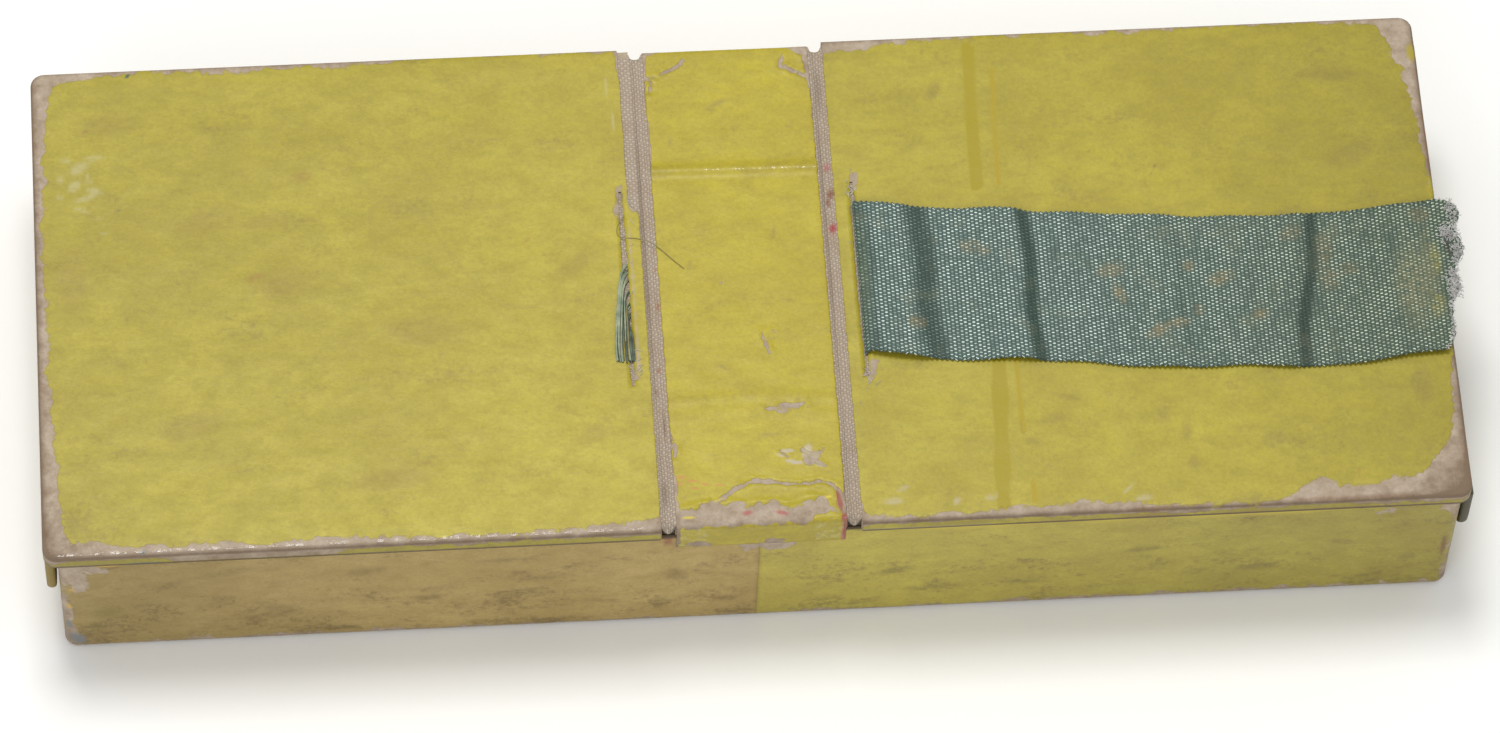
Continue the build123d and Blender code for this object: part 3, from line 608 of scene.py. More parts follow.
# bare or thin places: X, Y, half length, half width, turn in degrees
LID_BARE = {
    "left": [(-16.5, -14.6, 1.7, 0.45, 85), (-15.2, 13.8, 2.4, 0.3, 92), (-16.9, 14.4, 1.7, 0.15, 86)],
    "right": [
        (17.0, 14.2, 1.9, 0.3, 84), (17.1, -17.0, 1.7, 0.3, 70), (17.9, -18.7, 0.9, 0.3, -40),
        (16.0, -16.4, 0.9, 0.25, 10),
    ],
}
LID_STAINS = {
    "left": [
        ("#b4ac78", 0.5, [
            (-94.8, 23.8, 2.6, 1.5, 30), (-92.6, 25.4, 2.4, 0.7, 4), (-96.6, 25.2, 1.4, 0.8, 0),
            (-95.4, 20.8, 2.0, 1.3, 50), (-92.6, 19.8, 2.0, 1.2, -20), (-94.0, 18.6, 2.6, 0.8, 10),
            (-94.6, 16.8, 2.2, 0.7, -25), (-92.0, 15.4, 1.6, 0.5, 0), (-97.4, 22.0, 1.0, 1.2, 0),
            (-97.6, 19.0, 0.8, 1.0, 30), (-93.4, 22.0, 0.8, 1.6, 20), (-91.4, 12.6, 0.9, 0.5, 0),
        ]),
        ("#bcb07c", 0.5, [(-17.5, 34.0, 0.5, 3.4, 0), (-17.0, 28.0, 0.45, 2.8, 4), (-17.4, 21.5, 0.35, 2.4, 0)]),
        ("#3e5a3c", 0.9, [(-87.3, 39.4, 0.7, 0.45, 0), (-88.1, -38.2, 0.45, 0.35, 0)]),
        ("#4d7474", 0.8, [(-87.1, -39.8, 0.55, 0.4, 0)]),
        ("#6e6a36", 0.6, [(-89.3, 16.4, 1.5, 0.28, -20), (-58.0, -10.0, 0.5, 0.2, 40), (-33.0, 26.0, 0.4, 0.25, 0)]),
        ("#946a2f", 0.42, [
            (-62.6, 20.8, 2.6, 1.4, 10), (-93.7, 30.0, 1.4, 0.8, 30), (-69.8, 4.2, 2.8, 1.3, 15),
            (-80.5, -21.0, 1.4, 0.5, -30), (-47.0, -27.5, 1.6, 0.6, 20), (-30.5, 8.5, 1.0, 0.5, 60),
        ]),
        ("#907d2e", 0.42, [
            (-77.0, 14.0, 8.0, 3.4, 20), (-66.0, 3.0, 7.0, 4.0, 8), (-46.0, -6.0, 9.0, 4.4, -10),
            (-68.0, 13.5, 7.0, 2.6, 6), (-24.0, 4.0, 6.0, 2.8, 30), (-22.5, -24.0, 5.0, 2.6, 20),
            (-96.0, 5.0, 4.0, 9.0, 0), (-80.0, -20.0, 8.0, 3.6, 12), (-90.0, 31.0, 7.0, 3.0, 0),
            (-52.0, -30.0, 10.0, 3.0, 4),
        ]),
    ],
    "right": [
        ("#7f6330", 0.7, [
            (61.4, 16.4, 0.5, 0.35, 20), (60.6, 15.3, 0.4, 0.3, 0), (52.0, 19.5, 0.22, 0.22, 0),
            (60.5, -23.5, 0.25, 0.2, 0), (21.4, 16.7, 0.25, 0.2, 0), (83.0, -27.0, 0.3, 0.2, 30),
        ]),
        ("#b3a67c", 0.62, [
            (18.8, -37.2, 2.4, 0.9, 0), (27.8, -37.6, 1.2, 0.9, 60), (32.6, -37.3, 1.2, 0.9, 0),
            (54.4, -38.4, 2.2, 0.7, 5), (52.3, -36.9, 1.6, 0.5, 40), (20.4, -35.2, 1.8, 0.6, 10),
        ]),
        ("#a8742c", 0.8, [(85.6, -36.0, 1.1, 0.35, -50)]),
        ("#84732f", 0.42, [
            (42.5, -25.0, 3.6, 1.6, 12), (39.5, -28.5, 2.4, 1.2, -20), (61.5, -28.0, 3.0, 1.4, 80),
            (58.5, -25.0, 1.6, 2.6, 0), (62.0, -33.0, 1.6, 2.0, 0), (45.0, -21.5, 4.2, 1.0, -14),
            (90.0, 17.0, 7.0, 3.4, 20), (88.0, 31.0, 9.0, 2.6, -6), (74.0, -30.0, 4.0, 2.4, 10),
            (96.0, -22.0, 2.4, 6.0, 0), (30.0, 31.0, 3.6, 1.7, 60),
        ]),
        ("#a89a2f", 0.75, [(86.0, -37.5, 3.6, 0.8, 6), (100.7, 34.0, 0.9, 2.6, 0), (100.9, 10.5, 0.8, 4.0, 0)]),
        ("#7f5a38", 0.42, [
            (100.9, -9.0, 0.5, 5.0, 0), (101.2, 18.0, 0.4, 9.0, 0), (56.0, -40.1, 6.0, 0.4, 0),
            (84.0, -39.9, 14.0, 0.5, 0),
        ]),
    ],
}
# runs of old glue and the faint print of something round that has lain on the lid
LID_LINES = {
    "left": [
        ("#ab9987", 0.95, [
            (0.2, [(-15.9, 10.0), (-15.85, 2.0), (-15.9, -6.0), (-15.85, -14.0)]),
            (0.2, [(-16.9, 11.0), (-16.8, 6.0)]),
        ]),
        ("#9b8b2b", 0.5, [
            (0.55, [
                (-52.6, 8.0), (-52.9, 12.5), (-52.8, 15.2), (-51.4, 15.8), (-49.3, 15.6), (-46.5, 14.1), (-44.5, 11.8),
                (-42.2, 7.1), (-39.8, 3.5), (-37.5, 0.3), (-34.7, -2.3), (-30.2, -2.9),
            ]),
        ]),
    ],
    "right": [
        ("#9d8d04", 0.95, [
            (1.15, [(35.8, -13.0), (35.2, -25.0), (34.4, -38.2)]),
            (1.0, [(35.0, 14.5), (35.3, 24.0), (35.5, 38.0)]),
        ]),
        ("#a59008", 0.95, [
            (0.42, [(38.2, -13.0), (38.4, -27.0)]),
            (0.2, [(38.5, -27.0), (38.6, -33.5)]),
            (0.55, [(38.9, -35.0), (39.0, -38.2)]),
            (0.4, [(38.3, 14.5), (38.7, 34.0)]),
        ]),
    ],
}


def lid_cover(name):
    """Surface paper over a lid's board: top, rounded arrises, three sides and the 8 mm turned in underneath."""
    side, wear = SIDES[name], LID_WEAR[name]
    half = -LID_FRONT
    slit_sides, slit_ends = ([c - d, c + d] for c, d in ((SLIT_X, SLIT_GAP / 2), (SLIT_Y, SLIT_HALF)))
    xs = lines_across(LID_INNER, LID_OUTER, GRID_STEP, (0, 0.15, 0.4), EDGE_LINES, slit_sides)
    ys = lines_across(-half, half, GRID_STEP, EDGE_LINES, EDGE_LINES, slit_ends)
    x, y = spread(xs, ys)
    rows, columns = len(xs), len(ys)

    # round the two outer corners
    s = np.clip((x - LID_OUTER + LID_CORNER) / LID_CORNER, 0, 1)
    t = np.clip((np.abs(y) - half + LID_CORNER) / LID_CORNER, 0, 1)
    both = (s > 0) & (t > 0)
    x = np.where(both, LID_OUTER - LID_CORNER + LID_CORNER * s * np.sqrt(1 - t**2 / 2), x)
    y = np.where(both, np.sign(y) * (half - LID_CORNER + LID_CORNER * t * np.sqrt(1 - s**2 / 2)), y)

    # the paper has shrunk back from the left hinge towards the back
    back_off = 0
    if name == "left":
        back_off = 1.55 * np.clip((y - 12.3) / 1.3, 0, 1) * (1 + 0.03 * np.sin(y * 0.7) + 0.02 * np.sin(y * 4.1))
        x = x + back_off * np.clip(1 - (x - LID_INNER) / 2.1, 0, 1)
    fray = 0.04 * np.sin(y * 2.3) + 0.03 * np.sin(y * 5.9 + 1)
    x = x + (fray + 0.06) * np.clip(1 - (x - LID_INNER) / 0.8, 0, 1)

    # the slit is cut with one stroke and gapes in its middle
    v = (y - SLIT_Y) / SLIT_HALF
    from_slit = x - SLIT_X
    gape = np.where(np.abs(v) < 1, 0.24 * (1 - v**2) * (1 + 0.3 * np.sin(y * 2.9)), 0)
    x = x + np.sign(from_slit) * gape * np.clip(1.13 - np.abs(from_slit) / 1.5, 0, 1)
    lip = np.where(np.abs(v) < 1, 0.1 * (1 - v**2), 0) * np.exp(-np.maximum(np.abs(from_slit) - 0.4, 0) / 0.5)

    qx, qy = x - (LID_OUTER - LID_CORNER), np.abs(y) - (half - LID_CORNER)
    inside = inside_corner(qx, qy, LID_CORNER)
    waves = 0.035 * (1 + smooth_noise(16, 3, side * x, y)) + 0.02 * (1 + smooth_noise(5, 5, side * x, y))
    z = TOP - rounded_drop(inside, LID_ARRIS) + lip + waves * np.clip(inside / 3, 0, 1)

    margins = [
        follow(wear["front"], side * x) - (y + half),
        follow(wear["back"], side * x) - (half - y),
        follow(wear["end"], y) - (LID_OUTER - x),
        2.5 * (follow(wear["hinge"], y) - (x - LID_INNER - back_off)),
    ]
    worn = np.maximum(soft_most(margins, 0.35), patches(side * x, y, LID_BARE[name]))
    grime_and_shade = np.exp(-inside / 0.45) + 0.35 * np.exp(-(x - LID_INNER) / 0.8)
    grime_and_shade = grime_and_shade + LID_DIRTY[name] * np.exp(-np.hypot(LID_OUTER - x, y + half) / 5)
    grime_and_shade = grime_and_shade + 0.4 * np.exp(-(LID_OUTER - x) / 1.2)
    near_front = np.exp(-(((inside - 0.35) / 0.4) ** 2)) * (y < -half + 2)
    shine = near_front * follow(LID_SHINE[name], side * x)

    grid = np.arange(rows * columns).reshape(rows, columns)
    outline = np.concatenate([grid[:-1, 0], grid[-1, :-1], grid[::-1, -1]])
    path = np.column_stack([x, y])[outline]
    skip = np.zeros((rows - 1, columns - 1), bool)
    slit_row = int(np.argmin(np.abs(xs - slit_sides[0])))
    middles = (ys[:-1] + ys[1:]) / 2
    skip[slit_row, np.abs((middles - SLIT_Y) / SLIT_HALF) < 1] = True
    faces = grid_faces(rows, columns, skip=skip)

    # sides, bottom edge and turn-in
    foot = TOP - LID_ARRIS
    profile = [(0, foot - 0.45), (0, foot - 0.9), (0, foot - 1.35), (0, RIM + 0.4)]
    profile += [(0.08, RIM + 0.16), (0.28, RIM + 0.02), (0.6, RIM), (2.6, RIM), (TURN_IN, RIM)]
    points = [np.column_stack([x, y, z])]
    worn, grime_and_shade = [worn], [grime_and_shade]
    shine = np.concatenate([shine, np.zeros(len(path) * len(profile))])
    on_front = path[:, 1] < -half + 1
    edge_wear = 0.75 + 0.5 * smooth_noise(9, 11, *path.T)
    edge_wear = np.where(on_front, follow(wear["front_face"], side * path[:, 0]), edge_wear)
    ring_start = [outline]
    total = rows * columns
    for inset, level in profile:
        moved = ring(path, LID_OUTER, half, LID_CORNER, inset)
        points.append(np.column_stack([moved, np.full(len(path), level)]))
        depth = TOP - level + inset
        worn.append(edge_wear - depth if inset < 2 else np.full(len(path), -3.0))
        worn[-1] = np.maximum(worn[-1], 0.25 - (level - RIM) / 0.5 if inset < 0.5 else -3.0)
        grime_and_shade.append(np.full(len(path), 0.55))
        ring_start.append(np.arange(total, total + len(path)))
        total += len(path)
    for upper, lower in zip(ring_start, ring_start[1:]):
        for k in range(len(path) - 1):
            faces.append((upper[k], lower[k], lower[k + 1], upper[k + 1]))
    points = np.vstack(points)
    mirrored = points * (side, 1, 1)
    stains = stain_and_shade_layer(mirrored[:, 0], mirrored[:, 1], LID_STAINS[name], LID_LINES[name])
    lower_edge, turn_in = (rows * columns + k * len(path) for k in (3, 7))
    stains[lower_edge:] = linear("#4a3a22", 0.95)  # painted shadow: a dark band along the lower edge of the lid's sides, where they meet the tray
    stains[turn_in:, 3] = 0
    aged = follow(LID_DARKENING[name], mirrored[:, 0]) + 0.1 * mirrored[:, 1] / half
    # the sides and the turn-in are made darker still
    aged[rows * columns :] += 0.6 if name == "left" else 0.2
    carried = {"worn": np.concatenate(worn), "grime_and_shade": np.concatenate(grime_and_shade), "stain_and_shade": stains, "aged": aged}
    made = joined(f"{name}_lid_cover", side, points, faces, LID_PAPER, attributes=carried | {"shine": shine})
    thicken(made, COVER_THICK)
    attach(made, f"{name}_lid")
    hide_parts(f"{name}_lid_paper")


# ---------------------------------------------------------------- bridge

BRIDGE_ARRIS = 0.6
# the bridge's torn front: the bare board, as its back and front limits by X, and the torn edges of paper
BRIDGE_BOARD_BACK = [
    (-12.2, -38.4), (-11.2, -37.2), (-7.9, -36.9), (-4.1, -36.4), (-0.4, -36.9), (2.3, -36.7), (4.4, -37.0),
    (6.6, -36.4), (9.2, -36.3), (10.0, -38.4), (12.2, -39.2),
]
BRIDGE_BOARD_FRONT = [
    (-12.2, 0.3), (-11, -0.5), (-4.4, -0.6), (1.0, -0.5), (6.3, -0.4), (8.0, 0.9), (9.4, 1.3), (12.2, 0.2),
]
BRIDGE_TEARS = [
    (0.34, [
        (-8.4, -36.9), (-7.0, -36.6), (-5.1, -35.6), (-2.9, -33.9), (-1.2, -33.1), (0.4, -33.4), (2.5, -34.0),
        (4.7, -33.7), (7.4, -33.8), (9.5, -33.6), (10.6, -34.2),
    ]),
    (0.3, [(10.6, -34.2), (11.3, -35.6), (11.4, -37.4), (11.8, -39.4)]),
    (0.22, [(-11.0, 35.0), (-9.5, 35.4), (-8.1, 36.0), (-6.8, 36.8), (-6.2, 37.8)]),
    (0.3, [(-12.0, 35.4), (-11.2, 34.2), (-11.6, 32.0)]),
    (0.26, [(8.1, 37.6), (8.4, 36.1), (9.6, 34.8), (11.8, 34.0)]),
    (0.35, [(11.0, 38.4), (11.9, 36.4), (11.8, 34.0)]),
    (0.12, [(2.1, -8.7), (2.7, -10.4), (3.2, -12.3)]),
    (0.2, [(3.5, -8.8), (4.4, -8.2)]),
    (0.2, [(1.8, -21.5), (4.0, -20.9), (6.1, -20.8), (7.7, -21.3)]),
    (0.24, [(3.2, -28.6), (4.4, -29.4)]),
    (0.28, [(6.7, -28.4), (8.2, -29.9), (9.4, -28.5)]),
    (0.24, [(7.0, -31.0), (8.4, -30.2), (9.7, -31.0)]),
    (0.2, [(-11.9, -24.5), (-11.5, -27.0), (-11.8, -29.0)]),
]
BRIDGE_BACK_TEAR = [(-12.2, 1.6), (-10.5, 0.5), (-8, -0.4), (0, -0.2), (4, -0.1), (9, 0.5), (12.2, 2.2)]
BRIDGE_LEFT_EDGE = [
    (-39, 1.0), (-34, 0.9), (-30, 0.7), (-28.5, 0.0), (-27, 0.6), (-24, 0.5), (-22.5, -0.1), (19, -0.05), (20.5, 0.5),
    (27, 0.6), (28.5, 0.0), (34, 0.1), (35.5, 0.7), (39, 0.9),
]
BRIDGE_RIGHT_EDGE = [(-39, 0.7), (-30, 0.2), (-20, 0.0), (10, 0.0), (20, 0.1), (30, 0.3), (39, 1.2)]
BRIDGE_BARE = [
    (-3.2, 0.1, 0.3, 0.25, 0), (7.9, -29.4, 0.9, 0.5, 60), (3.4, -9.6, 0.3, 0.2, 0), (5.4, -21.3, 1.0, 0.3, 10),
]
SKIRT_BARE = [(1.5, -5.6, 1.6, 0.7, 10), (-9.0, -5.2, 1.4, 0.6, 0)]
BRIDGE_STAINS = [
    ("#b5a88a", 0.85, [
        (7.2, -28.4, 1.8, 0.9, 70), (4.4, -28.2, 1.4, 0.5, 0), (5.6, -30.2, 1.8, 0.35, 0), (8.8, -30.6, 1.2, 0.6, -30),
        (8.4, -29.0, 0.9, 0.6, 20), (3.4, -28.9, 0.9, 0.3, -30), (4.6, -29.8, 1.2, 0.3, 10),
    ]),
    ("#ad5152", 0.6, [(-2.0, -37.9, 1.3, 0.65, 8), (2.9, -38.1, 1.5, 0.6, -14)]),
    ("#c08440", 0.75, [
        (-10.9, -31.7, 1.1, 0.32, 5), (-9.4, -32.4, 1.5, 0.3, -8), (-11.2, -32.8, 0.8, 0.3, -5),
        (-7.6, -33.0, 1.3, 0.28, -14), (-9.2, -33.6, 1.1, 0.26, -16), (-5.6, -33.2, 1.0, 0.26, -5),
    ]),
    ("#9c564c", 0.9, [(11.2, -36.6, 2.9, 0.5, 97), (11.8, -39.3, 0.9, 0.7, 90)]),
    ("#d2c04a", 0.8, [(-6.0, -35.6, 1.2, 0.35, 20), (9.6, -36.0, 0.9, 0.35, 10), (-10.3, -38.2, 1.4, 0.4, 0)]),
    ("#8f7f3c", 0.5, [
        (-2.0, 30.0, 3.2, 0.8, 30), (5.0, 8.0, 2.0, 0.6, 80), (-7.5, 3.0, 2.2, 0.6, 70), (2.0, -25.5, 2.8, 0.8, 10),
        (-4.0, -14.0, 2.0, 0.5, -30), (8.5, 26.0, 1.6, 0.6, 40), (-9.0, 24.0, 1.4, 0.6, 80),
    ]),
]


def bridge_cover():
    """Surface paper over the bridge: glued across the hinge cloths, creased twice, and torn at both ends."""
    depth = -SKIRT_LOW[1]
    foot = SKIRT_LOW[2]
    turns = np.linspace(0.3, pi / 2, 5)
    arc = [(depth - BRIDGE_ARRIS * (1 - cos(a)), TOP - BRIDGE_ARRIS * (1 - sin(a))) for a in turns]
    wall = [(depth, level) for level in np.linspace(foot, TOP - BRIDGE_ARRIS, 15)]
    end = depth - BRIDGE_ARRIS
    # from, to, how many points: closer at the crease and at the torn front
    spans = ((end, 30, 24), (30, 21, 14), (21, 17, 24), (17, -26, 72), (-26, -end, 46))
    top = [(y, TOP) for part in spans for y in np.linspace(*part)[1:]][:-1]
    profile = np.array(wall + arc + top + [(-y, z) for y, z in (wall + arc)[::-1]])[::-1]
    xs = lines_across(-BRIDGE_EDGE, BRIDGE_EDGE, 0.4, BRIDGE_LINES, BRIDGE_LINES)
    # distance along the paper from the front arris, and less than 0 below it
    steps = np.hypot(*np.diff(profile, axis=0).T)
    along = np.concatenate([[0], np.cumsum(steps)]) - (TOP - foot)
    v, x = spread(along, xs)
    y = np.repeat(profile[:, 0], len(xs))
    z = np.repeat(profile[:, 1], len(xs))
    upright = np.clip((TOP - z) / BRIDGE_ARRIS, 0, 1)
    v_back = 2 * depth - v
    ragged = 0.32 * smooth_noise(2.6, 21, x, v) + 0.16 * smooth_noise(1.0, 22, x, v)
    board = np.minimum(follow(BRIDGE_BOARD_BACK, x) + depth - v, v - follow(BRIDGE_BOARD_FRONT, x)) + ragged
    lines = np.where(v < depth * 2, 3 * strokes(x + 1.1 * ragged, v - depth + 1.1 * ragged, BRIDGE_TEARS), -9)
    back = follow(BRIDGE_BACK_TEAR, x) - v_back
    tear = soft_most([board, lines], 0.15)
    left = 2 * (follow(BRIDGE_LEFT_EDGE, y) - 0.3 - (x + BRIDGE_EDGE))
    right = 2 * (follow(BRIDGE_RIGHT_EDGE, y) - 0.3 - (BRIDGE_EDGE - x))
    worn = soft_most([tear, back + ragged, left, right], 0.2)
    worn = np.maximum(worn, np.where(upright < 0.5, patches(x, y, BRIDGE_BARE), -3))
    worn = np.maximum(worn, np.where(v < -1, patches(x, v, SKIRT_BARE), -3))

    # creases, the step of the torn layer and its lifted lip
    crease_line = np.interp(x, [-12, 13], [19.2, 18.8])
    fold_line = np.interp(x, [-12, -3, 4, 13], [-19.5, -18.9, -19.1, -20.2])
    rise = 0.32 * np.exp(-(((y - crease_line) / 0.85) ** 2)) - 0.05 * np.exp(-(((y - crease_line + 1.2) / 1.2) ** 2))
    rise += 0.08 * np.exp(-(((y - fold_line) / 0.7) ** 2)) + 0.05 * np.exp(-(((y - fold_line + 2.4) / 1.1) ** 2))
    place = (x, y, z)
    rise += 0.03 * (1 + smooth_noise(13, 31, *place)) + 0.015 * (1 + smooth_noise(4, 33, *place))
    lifted = np.exp(-((tear + 0.35) ** 2) / 0.18) * (0.6 + 0.5 * smooth_noise(2.5, 35, *place))
    torn = np.clip(tear / 0.35, 0, 1)
    rough = 0.05 * smooth_noise(1.6, 37, *place) + 0.04 * smooth_noise(0.9, 39, *place)
    outward = rise * (1 - torn) + 0.2 * np.clip(lifted, 0, 1) - torn * (0.1 - rough)
    from_edge = np.minimum(x + BRIDGE_EDGE, BRIDGE_EDGE - x)
    edge_fall = 0.05 * np.exp(-from_edge / 0.15)
    flat = 1 - upright
    z = z + outward * flat - edge_fall * flat
    y = y + np.sign(y) * upright * np.clip(outward, -0.12, 0.3)
    edge_fray = 0.04 * np.sin(y * 1.9) + 0.04 * np.sin(y * 4.7)
    x = x - np.sign(x) * (0.12 + edge_fray) * np.clip((np.abs(x) - BRIDGE_EDGE + 0.6) / 0.6, 0, 1)
    grime_and_shade = 0.3 * np.exp(-np.minimum(v, v_back).clip(0) / 3) + 0.3 * upright
    for line in (crease_line, fold_line):
        grime_and_shade = grime_and_shade + 0.35 * np.exp(-((y - line) ** 2))
    grime_and_shade = grime_and_shade + 0.3 * np.exp(-np.minimum(x + BRIDGE_EDGE, BRIDGE_EDGE - x) / 0.6)
    # handling has polished the crease and the front arris where paper is left on it
    shine = 1.3 * np.exp(-(((y - crease_line + 0.2) / 0.45) ** 2)) * (x > -5)
    shine = (shine + (y < 0) * (upright > 0.01) * (np.abs(x) > 7.5)) * (1 - torn)
    faces = grid_faces(len(profile), len(xs), flip=True)
    carried = {"worn": worn, "grime_and_shade": grime_and_shade, "stain_and_shade": stain_and_shade_layer(x, y, BRIDGE_STAINS), "shine": shine.clip(0, 1)}
    made = joined("bridge_cover", 1, np.column_stack([x, y, z]), faces, BRIDGE_PAPER, attributes=carried)
    thicken(made, COVER_THICK)
    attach(made, "tray")
    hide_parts("bridge_paper")


# ---------------------------------------------------------------- tray and flaps

TRAY_CORNER = 1.7
TRAY_STEP = 0.75  # between the grid's lines
TURN_IN_FOOT = 17.1
# on the walls: X, Z, half length, half height, turn
WALL_BARE = {
    "left": [
        (-97.6, 21.5, 2.0, 3.0, 30), (-95.6, 23.6, 3.2, 1.5, -24), (-97.0, 18.4, 1.2, 2.0, -30),
        (-98.6, 4.0, 1.0, 3.0, 0), (-60.0, 0.8, 22.0, 0.7, 0), (-20.0, 0.7, 14.0, 0.6, 0), (-1.2, 22.6, 2.2, 2.2, 20),
    ],
    "right": [
        (99.3, 23.4, 0.9, 1.6, 0), (93.0, 23.6, 2.4, 0.3, 12), (96.6, 22.4, 1.6, 0.28, 20), (60.0, 0.9, 34.0, 0.8, 0),
        (12.0, 0.8, 10.0, 0.6, 0), (2.2, 22.4, 3.0, 2.4, 10), (99.7, 4.0, 0.5, 2.6, 0),
    ],
}
CORNER_WEAR = {"left": 0.9, "right": 0.5}  # how far the tray's upright corners are rubbed through
WALL_STAINS = {
    "left": [
        ("#7d7136", 0.45, [(-93.0, 10.4, 3.6, 3.2, 10), (-95.0, 6.0, 1.6, 3.0, 0)]),
        ("#735d35", 0.45, [
            (-68.6, 8.3, 4.6, 4.0, 10), (-72.0, 6.2, 3.0, 2.0, 0), (-47.0, 10.4, 4.0, 1.8, 6),
            (-34.0, 16.5, 2.4, 1.4, -6),
        ]),
        ("#7b7d7c", 0.85, [(-97.6, 3.0, 1.6, 2.6, 30), (-98.6, 7.0, 0.8, 1.6, 0)]),
        ("#c9a548", 0.8, [(-98.4, 12.6, 0.7, 0.9, 0), (-97.8, 17.4, 0.6, 0.5, 0), (-92.5, 24.0, 3.4, 0.45, 0)]),
        ("#8a4f3c", 0.6, [(-13.2, 23.6, 1.0, 1.6, 0)]),
        ("#705c33", 0.4, [
            (-84.0, 17.5, 5.6, 1.8, 32), (-76.0, 20.5, 7.0, 1.8, 14), (-88.0, 12.0, 5.0, 1.2, 28),
            (-56.0, 19.0, 6.0, 2.0, 10), (-46.0, 13.0, 5.0, 1.4, 6), (-36.0, 20.5, 9.0, 1.2, 0),
            (-12.0, 14.0, 3.0, 3.4, 30), (-5.0, 6.0, 3.4, 1.6, 0), (-30.0, 15.0, 6.0, 1.6, 10),
            (-22.0, 7.0, 5.0, 1.2, -8),
        ]),
    ],
    "right": [
        ("#c3b043", 0.6, [(30.0, 24.0, 16.0, 0.9, 0), (70.0, 24.0, 22.0, 0.9, 0), (50.0, 23.9, 10.0, 0.8, 0)]),
        ("#7d7038", 0.5, [
            (20.0, 12.0, 5.0, 1.6, 12), (38.0, 7.0, 6.0, 1.2, -4), (55.0, 15.0, 4.6, 1.4, 6), (72.0, 8.0, 6.4, 1.6, 3),
            (84.0, 14.5, 3.8, 1.5, -10), (94.0, 9.0, 2.6, 2.2, 20),
        ]),
        ("#77583a", 0.6, [(98.8, 12.0, 0.9, 5.0, 0), (44.0, 18.6, 2.4, 0.5, 10)]),
    ],
}
# how much darker the paper is made, by X along the wall
WALL_DARKENING = {
    "left": [(-100, 0.8), (-75, 0.5), (-45, 0.1), (0, 0.08)],
    "right": [(0, 0.1), (45, 0.4), (75, 0.7), (100, 0.95)],
}


